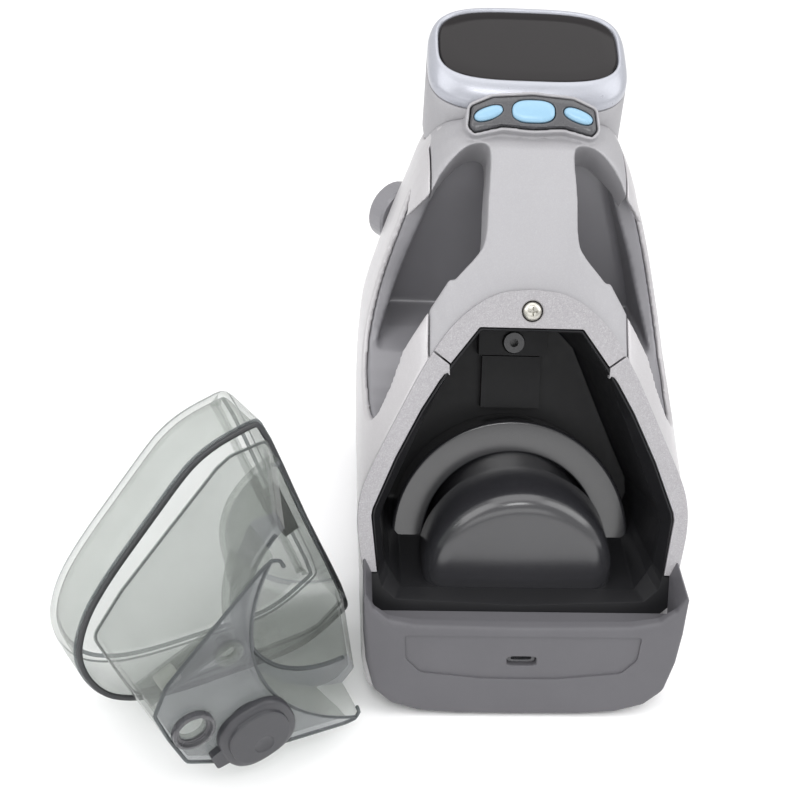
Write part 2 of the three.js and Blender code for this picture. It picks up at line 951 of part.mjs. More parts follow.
chin = chin
  .subtract(
    prism(mirror(chinPanel), chinMap(-3), chinMap(-0.6)),
  )
  .subtract(prism(ellipse(6.2, 2.3, 28, 0, 27, 4.5), chinMap(-3), chinMap(8)));
add("chin_bumper", biggest(chin), CHIN, 0.55, 0);
add(
  "latch_slot_insert",
  prism(ellipse(5.8, 1.9, 28, 0, 27, 4.5), chinMap(1.6), chinMap(7.5)).subtract(
    prism(ellipse(4.4, 0.9, 20, 0, 27, 4), chinMap(0), chinMap(4)),
  ),
  0x8a8a8e,
  0.4,
  0.2,
);
const baseLoop = mirror([
  [0, 9],
  [50, 9],
  [60, 22],
  [60.5, 150],
  [52, 186],
  [0, 190],
]);
add("base_plate", prism(baseLoop, zMap(1.6), zMap(4.8)), 0x3c3c3f, 0.6, 0);
[
  ["foot_front_left", -46, 22],
  ["foot_front_right", 46, 22],
  ["foot_rear_left", -42, 172],
  ["foot_rear_right", 42, 172],
].forEach(([n, x, y]) => add(n, cyl(6.5, 1.3, V(x, y, 0), V(0, 0, 1), 24), BLACK, 0.8, 0));

// ---------------------------------------------------------------- inside the body
add("battery_pack", box(84, 38, 62, 0, 150, 40), 0x2b4f8f, 0.6, 0);
add("control_board", box(70, 1.6, 34, 0, 166, 112), 0x1f5c3a, 0.6, 0);
add("water_pump", cyl(8, 34, V(-40, 152, 81), V(1, 0, 0), 24), 0x777777, 0.5, 0);
add(
  "hose_port",
  turned(
    [
      [0, 0],
      [13.2, 0],
      [14, 1.2],
      [14, 9],
      [12.6, 10.4],
      [0, 10.4],
    ],
    V(-49, 179, 141),
    V(-0.62, 0.78, 0),
    32,
  ),
  0x55555a,
  0.5,
  0,
);

// ---------------------------------------------------------------- tank, laid on its right side beside the unit
const tank = new THREE.Group();
// tank frame: x to its docked right, d towards the bay, z docked up from the bottom of its gasket
tank.matrixAutoUpdate = false;
const TX = V(0.31, 0.125, -0.942).normalize();
const TYr = V(0.539, -0.84, 0.066);
const TZ = TX.clone().cross(TYr).normalize();
const TY = TZ.clone().cross(TX).normalize();
tank.matrix.makeBasis(TX, TY, TZ).setPosition(-90.1, 40.5, 71.75);
group.add(tank);
const tMap = (d) => (x, z) => V(x, d, z);
const tSlope = (d, k) => (x, z) => V(x, d - k * z, z);
const tankLoop = mirror([[0, 0], ...rimHalf.map(([x, h]) => [x * TANK_G, (h - 60) * TANK_G])]);
const coverOut = loft(
  [inset(tankLoop, 4.2), inset(tankLoop, 1.4), tankLoop, tankLoop],
  [tMap(-COVER_D - 1.2), tMap(-COVER_D + 0.2), tMap(-COVER_D + 3.4), tMap(-1)],
);
const coverIn = loft(
  [inset(tankLoop, TANK_WALL + 0.6), inset(tankLoop, TANK_WALL)],
  [tMap(-COVER_D + TANK_WALL), tMap(0)],
);
add("tank_cover", coverOut.subtract(coverIn), CLEAR, 0.1, 0, tank);
const gasketLoop = inset(tankLoop, 0.7);
add(
  "tank_gasket",
  prism(gasketLoop, tMap(-0.7), tMap(1.9)).subtract(
    prism(inset(tankLoop, 3), tMap(-3), tMap(3)),
  ),
  BLACK,
  0.8,
  0,
  tank,
);
const tubF = [
  [0, 1.8],
  [53, 2.2],
  [57.2, 18],
  [56, 25],
  [43.6, 54],
  [32.2, 80],
  [21, 98.6],
  [0, 99],
];
const tubK = [
  [0, 29.6],
  [50.5, 29.8],
  [53.4, 33],
  [52, 38],
  [39, 64],
  [26.6, 88],
  [16.4, 97.4],
  [0, 98],
];
const KT = 0.1;
const backN = V(0, 1, KT).normalize();
const backAt = (x, z, up = 0) => V(x, TANK_D - KT * z, z).addScaledVector(backN, up);
const tubOut = loft(
  [inset(mirror(tubF), 0), mirror(tubK)],
  [tMap(2.3), tSlope(TANK_D, KT)],
);
const tubIn = loft(
  [inset(mirror(tubF), TANK_WALL), inset(mirror(tubK), TANK_WALL)],
  [tMap(0), tSlope(TANK_D - TANK_WALL, KT)],
);
const tAxis = V(0, -Math.cos(rad(20)), -Math.sin(rad(20)));
const tAt = (t) => V(0, RING_D, RING_H - 60).addScaledVector(tAxis, t);
const ownFrame = (fn) => fn;
const cupOut = cyl(45.7, 90, tAt(-52.5), tAxis, 72);
const cupIn = cyl(43.5, 100, tAt(-64.7), tAxis, 72);
const stepOut = cyl(70.2, 60, V(-1, RING_D - 3.7, -12), V(0, 1, 0), 72);
const stepIn = cyl(68, 60, V(-1, RING_D - 1.5, -12), V(0, 1, 0), 72);
const cupReach = loft(
  [mirror(tubF), mirror(tubF)],
  [tMap(-13), tMap(2.4)],
).intersect(box(big, big, big, 0, 0, 6 + big / 2));
const tankBody = tubOut
  .subtract(tubIn)
  .add(cupOut.intersect(tubOut.add(cupReach)))
  .add(stepOut.intersect(tubOut))
  .subtract(cupIn)
  .subtract(stepIn)
  .subtract(cyl(5, 30, V(0, 40, 90), V(0, 1, 0), 24))
  .subtract(cyl(10.4, 30, backAt(21, 69, -20), backN, 32))
  .subtract(cyl(3.4, 30, backAt(-24, 62.5, -20), backN, 20));
add("tank_body", biggest(tankBody), CLEAR, 0.1, 0, tank);
add(
  "tank_port_ring",
  cyl(8.4, 2.6, backAt(0, 88, GAP), backN, 36).subtract(cyl(5.4, 8, backAt(0, 88, -2), backN, 28)),
  0x46464a,
  0.5,
  0,
  tank,
);
add(
  "drain_cap",
  prism(ellipse(15.4, 15.4, 48, 21, 69, 2.5), tSlope(TANK_D + GAP, KT), tSlope(TANK_D + 4.6, KT))
    .add(prism(ellipse(11.5, 11.5, 40, 21, 69, 2.6), tSlope(TANK_D + 4, KT), tSlope(TANK_D + 6, KT)))
    .add(cyl(9.9, 5.4, backAt(21, 69, -4.6), backN, 32)),
  0x4b4b50,
  0.55,
  0,
  tank,
);
add(
  "boss_screw",
  cyl(5.6, 2, backAt(-24, 62.5, GAP), backN, 28).add(cyl(2.8, 8, backAt(-24, 62.5, -7), backN, 20)),
  0x9aa09a,
  0.3,
  0.3,
  tank,
);
add(
  "float_tube",
  cyl(5.5, 40, V(0, 24, 56), V(0, 0, 1), 24).subtract(cyl(4.4, 60, V(0, 24, 50), V(0, 0, 1), 24)),
  0x8c918c,
  0.4,
  0,
  tank,
);
add("float_ball", cyl(3.9, 9, V(0, 24, 80), V(0, 0, 1), 24), 0xd8d8d0, 0.5, 0, tank);
add("tank_clip", box(26, 5, 7, 0, -14, TANK_WALL + 4.2), BLACK, 0.5, 0, tank);

// ---------------------------------------------------------------- clearances
for (const side of ["left_side_shell", "right_side_shell", "rear_cover"])
  clearOf(side, ["bay_bezel", "base_plate", "hose_port"]);
for (const side of ["left_side_shell", "right_side_shell", "rear_cover"]) {
  const piece = stock.get(side);
  piece.man = biggest(
    piece.man
      .subtract(loft([grow(mirror(bayOutB), 0.4), grow(mirror(bayOutK), 0.4)], [rimMap(RIM_T), rimMap(BAY_D + 2.8)]))
      .subtract(prism(grow(mirror(bevFront), 0.2), rimMap(-2), rimMap(10))),
  );
}
clearOf("hand_well", []);
clearOf("handle_cover", ["bay_liner", "bay_bezel"]);
clearOf("button_panel", ["display_bezel", "pod_shell"]);
clearOf("button_board", ["display_bezel", "pod_shell"]);
clearOf("bay_liner", ["motor_collar"]);
finish();

// ---------------------------------------------------------------- origin
group.position.set(...OFFSET);
export default group;
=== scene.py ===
import bpy, bmesh, math
from mathutils import Vector, Matrix


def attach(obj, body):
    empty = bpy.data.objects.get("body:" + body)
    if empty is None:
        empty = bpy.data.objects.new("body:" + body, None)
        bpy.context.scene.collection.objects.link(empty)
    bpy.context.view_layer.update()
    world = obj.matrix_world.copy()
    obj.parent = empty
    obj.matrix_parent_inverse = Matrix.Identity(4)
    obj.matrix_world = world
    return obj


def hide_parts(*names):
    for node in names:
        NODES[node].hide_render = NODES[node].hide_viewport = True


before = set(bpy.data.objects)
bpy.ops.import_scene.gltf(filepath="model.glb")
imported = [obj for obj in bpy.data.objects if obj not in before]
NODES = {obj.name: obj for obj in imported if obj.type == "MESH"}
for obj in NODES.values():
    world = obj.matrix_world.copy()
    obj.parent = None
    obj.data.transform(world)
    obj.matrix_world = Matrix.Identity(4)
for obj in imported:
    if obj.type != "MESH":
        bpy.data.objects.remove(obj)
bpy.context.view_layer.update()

OFF = (61.57, -70.295, 0.0)
col = bpy.context.scene.collection
rad = math.radians


def W(p):
    return Vector(((p[0] + OFF[0]) / 1000, (p[1] + OFF[1]) / 1000, (p[2] + OFF[2]) / 1000))


# ------------------------------------------------------------------ camera
EPS, YAW, ROLL = 0.6277352207965958, -0.07125398906671773, 0.06296327061916966
CAM = (-84.5232940966185, -377.5706658577579 + 14.5 * math.sin(rad(28)), 420.1429158941769 + 14.5 * math.cos(rad(28)))
F = Vector((-math.sin(YAW) * math.cos(EPS), math.cos(YAW) * math.cos(EPS), -math.sin(EPS)))
R0 = Vector((math.cos(YAW), math.sin(YAW), 0))
U0 = R0.cross(F)
R2 = math.cos(ROLL) * R0 + math.sin(ROLL) * U0
U2 = -math.sin(ROLL) * R0 + math.cos(ROLL) * U0
cam = bpy.data.objects.new("camera", bpy.data.cameras.new("camera"))
cam.data.lens = 36 * 1300.5570419265987 / 800
cam.data.sensor_width = 36
cam.data.clip_start = 0.01
m = Matrix((R2, U2, -F)).transposed().to_4x4()
m.translation = W(CAM)
cam.matrix_world = m
col.objects.link(cam)
bpy.context.scene.camera = cam

# ------------------------------------------------------------------ maps (mm)
C28, S28 = math.cos(rad(28)), math.sin(rad(28))
def rim(d):
    return lambda x, h: (x, d * C28 + h * S28, -d * S28 + h * C28)
def ymap(y):
    return lambda x, z: (x, y, z)
def zmap(z):
    return lambda x, y: (x, y, z)
def xmap(x):
    return lambda y, z: (x, y, z)
GS, GC = math.sin(rad(46)), math.cos(rad(46))
GY0, GZ0 = 180.1 * S28, 180.1 * C28
def grip(d):
    return lambda x, s: (x, GY0 + s * GS + d * GC, GZ0 + s * GC - d * GS)
TX = Vector((0.31, 0.125, -0.942)).normalized()
TYr = Vector((0.539, -0.84, 0.066))
TZ = TX.cross(TYr).normalized()
TY = TZ.cross(TX).normalized()
T0 = Vector((-90.1, 40.5, 71.75))
def tk(d, k=0.0):
    return lambda x, z: tuple(T0 + TX * x + TY * (d - k * z) + TZ * z)
def tp(x, d, z):
    return tuple(T0 + TX * x + TY * d + TZ * z)

# ------------------------------------------------------------------ curves
def mirror(half):
    out = list(half)
    for x, y in reversed(half):
        if x > 1e-6:
            out.append((-x, y))
    return out

def cr(p, t, closed):
    """Centripetal Catmull-Rom through points p (tuples), t in 0..len."""
    n = len(p)
    i = int(math.floor(t))
    f = t - i
    g = (lambda k: p[k % n]) if closed else (lambda k: p[min(max(k, 0), n - 1)])
    P = [Vector(g(i + k)) for k in (-1, 0, 1, 2)]
    if not closed and i - 1 < 0:
        P[0] = 2 * P[1] - P[2]
    if not closed and i + 2 > n - 1:
        P[3] = 2 * P[2] - P[1]
    T = [0.0]
    for a, b in zip(P, P[1:]):
        T.append(T[-1] + max((b - a).length, 1e-5) ** 0.5)
    u = T[1] + f * (T[2] - T[1])
    def L(A, B, a, b):
        return A * ((b - u) / (b - a)) + B * ((u - a) / (b - a))
    A1, A2, A3 = L(P[0], P[1], T[0], T[1]), L(P[1], P[2], T[1], T[2]), L(P[2], P[3], T[2], T[3])
    B1, B2 = L(A1, A2, T[0], T[2]), L(A2, A3, T[1], T[3])
    return L(B1, B2, T[1], T[2])

def smooth(loop, k=5, closed=True):
    n = len(loop)
    if closed:
        return [tuple(cr(loop, i / k, True)) for i in range(n * k)]
    return [tuple(cr(loop, i / k, False)) for i in range((n - 1) * k)] + [tuple(loop[-1])]

def fillet(loop, r, seg=5):
    """Closed polygon with rounded corners; r one number or one per corner."""
    n, out = len(loop), []
    for i, c in enumerate(loop):
        a, b = Vector(loop[i - 1]), Vector(loop[(i + 1) % n])
        c = Vector(c)
        ri = r[i] if isinstance(r, (list, tuple)) else r
        u, v = (a - c), (b - c)
        lu, lv = u.length, v.length
        u, v = u / lu, v / lv
        ang = math.acos(max(-1, min(1, u.dot(v))))
        if ri <= 0 or math.pi - ang < 0.03:
            out += [tuple(c)] * (seg + 1)
            continue
        t = min(ri / math.tan(ang / 2), 0.48 * lu, 0.48 * lv)
        p, q = c + u * t, c + v * t
        for k in range(seg + 1):
            w = k / seg
            # quadratic blend close to an arc
            out.append(tuple(p * (1 - w) ** 2 + c * (2 * w * (1 - w)) + q * w ** 2))
    return out

def uniq(loop):
    """The loop without repeated points."""
    out = []
    for q in loop:
        if not out or (Vector(q) - Vector(out[-1])).length > 1e-3:
            out.append(tuple(q))
    while (Vector(out[0]) - Vector(out[-1])).length < 1e-3:
        out.pop()
    return out

def resample(loop, n, start=0.0):
    P = [Vector(p) for p in loop]
    P.append(P[0])
    L = [0.0]
    for a, b in zip(P, P[1:]):
        L.append(L[-1] + (b - a).length)
    out, j = [], 0
    for i in range(n):
        s = ((i / n + start) % 1.0) * L[-1]
        j = 0 if s < L[j] else j
        while L[j + 1] < s:
            j += 1
        f = (s - L[j]) / max(L[j + 1] - L[j], 1e-9)
        out.append(tuple(P[j].lerp(P[j + 1], f)))
    return out

def inset(loop, t):
    n, out = len(loop), []
    area = sum(a[0] * b[1] - b[0] * a[1] for a, b in zip(loop, loop[1:] + loop[:1]))
    s = 1 if area > 0 else -1
    for i in range(n):
        c = Vector(loop[i])
        a = next((Vector(loop[i - k]) for k in range(1, n) if (Vector(loop[i - k]) - c).length > 1e-4), c)
        b = next((Vector(loop[(i + k) % n]) for k in range(1, n) if (Vector(loop[(i + k) % n]) - c).length > 1e-4), c)
        d1, d2 = (c - a), (b - c)
        n1 = Vector((-d1.y, d1.x)).normalized(); n2 = Vector((-d2.y, d2.x)).normalized()
        nn = (n1 + n2)
        nn = nn.normalized() if nn.length > 1e-6 else n1
        k = 1 / max(0.5, nn.dot(n1))
        out.append(tuple(c + nn * (t * s * k)))
    return out

def inset_taper(loop, t, tips, R=10.0):
    """Inset that fades towards thin tips, so that it never crosses itself there."""
    out = []
    for q, w in zip(loop, inset(loop, t)):
        d = min(math.hypot(q[0] - a, q[1] - b) for a, b in tips)
        k = min(1.0, max(0.04, d / R))
        out.append((q[0] + (w[0] - q[0]) * k, q[1] + (w[1] - q[1]) * k))
    return out

def ellipse(rx, ry, n=64, cx=0.0, cy=0.0, p=2.0):
    out = []
    for i in range(n):
        a = 2 * math.pi * i / n
        c, s = math.cos(a), math.sin(a)
        out.append((cx + rx * math.copysign(abs(c) ** (2 / p), c), cy + ry * math.copysign(abs(s) ** (2 / p), s)))
    return out

# ------------------------------------------------------------------ mesh makers
def obj_from(name, verts, faces, world=True):
    me = bpy.data.meshes.new(name)
    me.from_pydata([Vector(v) for v in verts], [], faces)
    me.update()
    bm = bmesh.new(); bm.from_mesh(me)
    bmesh.ops.remove_doubles(bm, verts=bm.verts, dist=2e-3)
    bmesh.ops.recalc_face_normals(bm, faces=bm.faces)
    bm.to_mesh(me); bm.free()
    for p in me.polygons:
        p.use_smooth = True
    ob = bpy.data.objects.new(name, me)
    col.objects.link(ob)
    return ob

def loft3(name, rows, closed_ring=True, caps=True):
    """rows: lists of 3D points, equal counts, each a closed loop."""
    n = len(rows[0])
    V = [p for r in rows for p in r]
    Fc = []
    for j in range(len(rows) - 1):
        for i in range(n):
            k = (i + 1) % n
            Fc.append((j * n + i, j * n + k, (j + 1) * n + k, (j + 1) * n + i))
    if closed_ring:
        pass
    if caps == "ring":
        j = len(rows) - 1
        for i in range(n):
            k = (i + 1) % n
            Fc.append((j * n + i, j * n + k, k, i))
    elif caps:
        Fc.append(tuple(range(n)))
        Fc.append(tuple((len(rows) - 1) * n + i for i in range(n)))
    return obj_from(name, V, Fc)

def loft(name, loops, maps, caps=True):
    return loft3(name, [[mp(*p) for p in lp] for lp, mp in zip(loops, maps)], caps=caps)

def prism(name, loop, m0, m1):
    return loft(name, [loop, loop], [m0, m1])

def ringlathe(name, profile, pos, axis, seg=128, arc=None, smooth_prof=False):
    """profile: closed loop or open (r,t) polyline that starts and ends on the axis."""
    axis = Vector(axis).normalized()
    a = Vector((1, 0, 0)) if abs(axis.x) < 0.9 else Vector((0, 1, 0))
    u = axis.cross(a).normalized(); v = axis.cross(u)
    pos = Vector(pos)
    rows = []
    for i in range(seg):
        th = 2 * math.pi * i / seg
        rows.append([tuple(pos + axis * t + (u * math.cos(th) + v * math.sin(th)) * r) for r, t in profile])
    n = len(profile)
    V = [p for r in rows for p in r]
    Fc = []
    for i in range(seg):
        k = (i + 1) % seg
        for j in range(n):
            j2 = (j + 1) % n
            if j2 == 0 and not (profile[0][0] > 1e-6 and profile[-1][0] > 1e-6):
                continue
            Fc.append((i * n + j, k * n + j, k * n + j2, i * n + j2))
    return obj_from(name, V, Fc)

def bake(ob):
    dg = bpy.context.evaluated_depsgraph_get()
    dg.update()
    me = bpy.data.meshes.new_from_object(ob.evaluated_get(dg))
    ob.modifiers.clear()
    old = ob.data
    ob.data = me
    bpy.data.meshes.remove(old)
    return ob

def boolean(a, b, op="DIFFERENCE", keep=False):
    was = a.data.copy()
    mo = a.modifiers.new("b", "BOOLEAN")
    mo.object = b; mo.operation = op; mo.solver = "MANIFOLD"
    bake(a)
    if not a.data.polygons:
        a.data = was
        mo = a.modifiers.new("b", "BOOLEAN")
        mo.object = b; mo.operation = op; mo.solver = "EXACT"
        bake(a)
    if not keep:
        bpy.data.objects.remove(b)
    return a

def copy_of(ob, name):
    c = bpy.data.objects.new(name, ob.data.copy())
    c.matrix_world = ob.matrix_world.copy()
    col.objects.link(c)
    return c

def organic(ob, voxel=0.7, it=8, dec=None):
    """Voxel remesh and smooth: every edge gets a moulded radius."""
    mo = ob.modifiers.new("r", "REMESH"); mo.mode = "VOXEL"; mo.voxel_size = voxel; mo.adaptivity = 0
    s = ob.modifiers.new("s", "SMOOTH"); s.factor = 0.5; s.iterations = it
    if dec:
        d = ob.modifiers.new("d", "DECIMATE"); d.ratio = dec
    bake(ob)
    for p in ob.data.polygons: p.use_smooth = True
    return ob

def bevel(ob, w=0.5, seg=3, ang=28, harden=True):
    b = ob.modifiers.new("bevel", "BEVEL")
    b.width = w / 1000; b.segments = seg; b.limit_method = "ANGLE"; b.angle_limit = rad(ang)
    b.harden_normals = False
    b.use_clamp_overlap = True
    wn = ob.modifiers.new("wn", "WEIGHTED_NORMAL"); wn.keep_sharp = True; wn.weight = 60
    return ob

def edgesplit_smooth(ob, ang=35):
    me = ob.data
    for p in me.polygons: p.use_smooth = True
    bm = bmesh.new(); bm.from_mesh(me)
    for e in bm.edges:
        e.smooth = not (len(e.link_faces) == 2 and e.calc_face_angle(0) > rad(ang))
    bm.to_mesh(me); bm.free()
    return ob

def join(name, obs):
    bm = bmesh.new()
    for o in obs:
        t = o.data.copy(); t.transform(o.matrix_world)
        bm.from_mesh(t)
        bpy.data.meshes.remove(t)
        bpy.data.objects.remove(o)
    me = bpy.data.meshes.new(name); bm.to_mesh(me); bm.free()
    ob = bpy.data.objects.new(name, me); col.objects.link(ob)
    return ob

# ------------------------------------------------------------------ materials
def mat_base(name):
    m = bpy.data.materials.new(name); m.use_nodes = True
    nt = m.node_tree
    for n in list(nt.nodes): nt.nodes.remove(n)
    out = nt.nodes.new("ShaderNodeOutputMaterial")
    b = nt.nodes.new("ShaderNodeBsdfPrincipled")
    nt.links.new(b.outputs[0], out.inputs[0])
    tc = nt.nodes.new("ShaderNodeTexCoord")
    return m, nt, b, out, tc

def noise_node(nt, tc, scale, detail=3, rough=0.55, dist=0.0):
    n = nt.nodes.new("ShaderNodeTexNoise")
    n.inputs["Scale"].default_value = scale
    n.inputs["Detail"].default_value = detail
    n.inputs["Roughness"].default_value = rough
    n.inputs["Distortion"].default_value = dist
    nt.links.new(tc.outputs["Object"], n.inputs["Vector"])
    return n

def ramp(nt, fac, stops):
    r = nt.nodes.new("ShaderNodeValToRGB")
    r.color_ramp.elements[0].position, r.color_ramp.elements[0].color = stops[0][0], (*stops[0][1], 1)
    r.color_ramp.elements[1].position, r.color_ramp.elements[1].color = stops[-1][0], (*stops[-1][1], 1)
    for p, c in stops[1:-1]:
        e = r.color_ramp.elements.new(p); e.color = (*c, 1)
    nt.links.new(fac, r.inputs[0])
    return r

def g3(c, k):
    return tuple(min(1, v * k) for v in c)

def srgb(r, g, b):
    f = lambda v: (v / 255 / 12.92) if v / 255 <= 0.04045 else ((v / 255 + 0.055) / 1.055) ** 2.4
    return (f(r), f(g), f(b))

def plastic(name, c, rough=0.4, metal=0.0, coat=0.0, grain=2200, bump=0.12, vary=0.06, flakes=0.0, spec=0.5, coat_rough=0.15):
    m, nt, b, out, tc = mat_base(name)
    big = noise_node(nt, tc, 28, 4)
    fine = noise_node(nt, tc, grain, 2)
    mid = noise_node(nt, tc, 260, 3)
    cr_ = ramp(nt, big.outputs["Fac"], [(0.3, g3(c, 1 - vary)), (0.7, g3(c, 1 + vary))])
    colour = cr_.outputs[0]
    if flakes:
        v = nt.nodes.new("ShaderNodeTexVoronoi"); v.inputs["Scale"].default_value = 2600
        nt.links.new(tc.outputs["Object"], v.inputs["Vector"])
        fr = ramp(nt, v.outputs["Color"], [(0.0, (1 - flakes,) * 3), (0.75, (1, 1, 1)), (1.0, (1 + flakes,) * 3)])
        mx = nt.nodes.new("ShaderNodeMix"); mx.data_type = "RGBA"; mx.blend_type = "MULTIPLY"; mx.inputs[0].default_value = 1
        nt.links.new(colour, mx.inputs[6]); nt.links.new(fr.outputs[0], mx.inputs[7])
        colour = mx.outputs[2]
    nt.links.new(colour, b.inputs["Base Color"])
    rr = nt.nodes.new("ShaderNodeMapRange")
    rr.inputs["To Min"].default_value = max(0.02, rough * 0.82); rr.inputs["To Max"].default_value = min(1, rough * 1.18)
    nt.links.new(mid.outputs["Fac"], rr.inputs["Value"])
    nt.links.new(rr.outputs[0], b.inputs["Roughness"])
    b.inputs["Metallic"].default_value = metal
    b.inputs["Specular IOR Level"].default_value = spec
    if coat:
        b.inputs["Coat Weight"].default_value = coat
        b.inputs["Coat Roughness"].default_value = coat_rough
    bp = nt.nodes.new("ShaderNodeBump"); bp.inputs["Strength"].default_value = bump; bp.inputs["Distance"].default_value = 0.00012
    nt.links.new(fine.outputs["Fac"], bp.inputs["Height"])
    nt.links.new(bp.outputs[0], b.inputs["Normal"])
    m.diffuse_color = (*c, 1)
    return m

def clear_plastic(name, tint, body, edge=0.62, base=0.16, rough=0.06):
    """Thin smoked plastic: see-through face on, darker and shinier towards its edges."""
    m, nt, b, out, tc = mat_base(name)
    b.inputs["Base Color"].default_value = (*body, 1)
    n = noise_node(nt, tc, 90, 4)
    cr_ = ramp(nt, n.outputs["Fac"], [(0.3, g3(body, 0.9)), (0.7, g3(body, 1.1))])
    nt.links.new(cr_.outputs[0], b.inputs["Base Color"])
    rr = nt.nodes.new("ShaderNodeMapRange"); rr.inputs["To Min"].default_value = rough * 0.7; rr.inputs["To Max"].default_value = rough * 1.6
    nt.links.new(n.outputs["Fac"], rr.inputs["Value"]); nt.links.new(rr.outputs[0], b.inputs["Roughness"])
    b.inputs["Specular IOR Level"].default_value = 0.6
    tr = nt.nodes.new("ShaderNodeBsdfTransparent"); tr.inputs["Color"].default_value = (*tint, 1)
    lw = nt.nodes.new("ShaderNodeLayerWeight"); lw.inputs["Blend"].default_value = 0.35
    mr = nt.nodes.new("ShaderNodeMapRange"); mr.inputs["To Min"].default_value = base; mr.inputs["To Max"].default_value = edge
    nt.links.new(lw.outputs["Facing"], mr.inputs["Value"])
    mx = nt.nodes.new("ShaderNodeMixShader")
    nt.links.new(mr.outputs[0], mx.inputs[0]); nt.links.new(tr.outputs[0], mx.inputs[1]); nt.links.new(b.outputs[0], mx.inputs[2])
    nt.links.new(mx.outputs[0], out.inputs[0])
    return m

M = {
    "silver": plastic("silver_paint", srgb(156, 155, 158), 0.5, 0.15, 0.0, grain=2400, bump=0.10, vary=0.02, flakes=0.05),
    "bezel": plastic("bezel_paint", srgb(164, 166, 174), 0.3, 0.3, 0.4, grain=2400, bump=0.06, vary=0.02, flakes=0.05),
    "shell": plastic("shell_paint", srgb(182, 180, 182), 0.38, 0.2, 0.2, grain=2400, bump=0.10, vary=0.02, flakes=0.05),
    "rim": plastic("rim_metallic", srgb(160, 158, 161), 0.42, 0.2, 0.15, grain=1800, bump=0.18, vary=0.03, flakes=0.22),
    "dark": plastic("bay_plastic", srgb(29, 29, 31), 0.4, 0.0, 0.0, grain=1500, bump=0.16, vary=0.08, spec=0.22),
    "grey": plastic("grey_plastic", srgb(70, 70, 73), 0.27, 0.0, 0.25, grain=1500, bump=0.14, vary=0.05),
    "drum": plastic("drum_plastic", srgb(42, 42, 45), 0.24, 0.0, 0.9, grain=1500, bump=0.06, vary=0.05, coat_rough=0.2),
    "well": plastic("well_plastic", srgb(128, 127, 131), 0.34, 0.1, 0.15, grain=1500, bump=0.12, vary=0.04),
    "chin": plastic("chin_plastic", srgb(86, 85, 89), 0.5, 0.0, 0.0, grain=1300, bump=0.3, vary=0.05),
    "black": plastic("black_rubber", (0.008, 0.008, 0.008), 0.62, grain=1100, bump=0.3),
    "lens": plastic("display_gloss", srgb(26, 23, 24), 0.1, 0.0, 0.0, grain=500, bump=0.006, vary=0.05, spec=0.24),
    "blue": plastic("button_blue", srgb(132, 170, 194), 0.3, 0.0, 0.3, grain=1500, bump=0.05, vary=0.02),
    "steel": plastic("screw_steel", srgb(190, 188, 180), 0.28, 0.95, 0.0, grain=1400, bump=0.2, vary=0.05),
    "green": plastic("circuit_board", (0.015, 0.1, 0.04), 0.5, 0, 0.2, grain=700, bump=0.4),
    "wrap": plastic("battery_wrap", (0.03, 0.07, 0.22), 0.35, 0, 0.2, grain=500, bump=0.1),
    "white": plastic("float_plastic", srgb(215, 214, 208), 0.5, 0, 0.0, grain=1200, bump=0.1),
    "clear": clear_plastic("tank_clear", (0.93, 0.94, 0.932), srgb(138, 141, 138), 0.62, 0.06),
    "cover": clear_plastic("cover_clear", (0.94, 0.95, 0.942), srgb(150, 153, 149), 0.66, 0.05),
    # painted shade: darker, less see-through clear plastic standing in for the dark lines that bending light makes
    # along the tank's bends and cut edges
    "edge": clear_plastic("tank_edge_painted_shade", (0.42, 0.44, 0.445), srgb(96, 100, 102), 0.8, 0.42),
    "seal": plastic("seal_rubber", srgb(52, 53, 55), 0.5, grain=1100, bump=0.2),
    "cap": plastic("cap_plastic", srgb(54, 54, 58), 0.42, 0.0, 0.1, grain=1500, bump=0.2, vary=0.05),
    "plate": clear_plastic("back_plate_clear", (0.8, 0.815, 0.825), srgb(132, 132, 137), 0.6, 0.2),
}

DONE = set()
def piece(ob, body, mat, *nodes, slot=None):
    """Shapes are made in millimetres; here they go to metres in the row frame."""
    ob.data.transform(Matrix.Translation(Vector(OFF) / 1000) @ Matrix.Scale(0.001, 4))
    ob.data.update()
    ob.data.materials.clear()
    ob.data.materials.append(M[mat])
    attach(ob, body)
    if nodes:
        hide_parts(*nodes)
        DONE.update(nodes)
    return ob

def keep(node, mat, w=0.35, seg=2, ang=30):
    """A CAD node that stays: softened edges and a real material."""
    o = NODES[node]
    o.data.materials.clear(); o.data.materials.append(M[mat])
    for p in o.data.polygons:
        p.use_smooth = True
    if w:
        bevel(o, w, seg, ang)
    DONE.add(node)
    return o

# ------------------------------------------------------------------ outlines
rimHalf = [(67.1, 60), (68.7, 69.5), (69.95, 79.5), (69.8, 88.3), (68.2, 96.3), (64.9, 104.7), (59.5, 116), (52.9, 129.6),
           (46, 143.5), (40.2, 153.8), (34, 162.8), (26.7, 170.3), (19, 175.8), (11.4, 178.8), (0, 180.1)]
bandInner = [(61.2, 60), (64.2, 84.1), (63.7, 87.3), (54.8, 109.2), (44.7, 129.6), (33.3, 148.7), (21.6, 164.3), (0, 164.3)]
bevFront = [(0, 46.5), (53, 48.6), (61.5, 57.5), (62.9, 84), (62.4, 87), (53.6, 108.6), (43.5, 129), (32.3, 147.6), (21.1, 163), (0, 163.1)]
bevBack = [(0, 51.6), (50.4, 51.8), (58, 63.5), (60.3, 81.4), (58.9, 87), (50.8, 106.2), (42.5, 125.6), (35, 143), (22.7, 162), (0, 162.2)]
FL = (41 + 60 * S28) / C28
bayBackIn = [(0, FL), (53, FL + 0.1), (56.6, 80), (57, 84), (56.4, 91), (49.7, 105), (43, 119.5), (29, 151), (18.6, 161.4), (0, 161.6)]
secA = [(0, 5), (58, 5), (65.5, 14), (66.9, 60), (69.7, 79.5), (69.6, 88.3), (68, 96.3), (64.6, 104.7), (52.6, 129.6), (39.9, 153.8), (26.4, 170.2), (11.3, 178.6), (0, 179.9)]
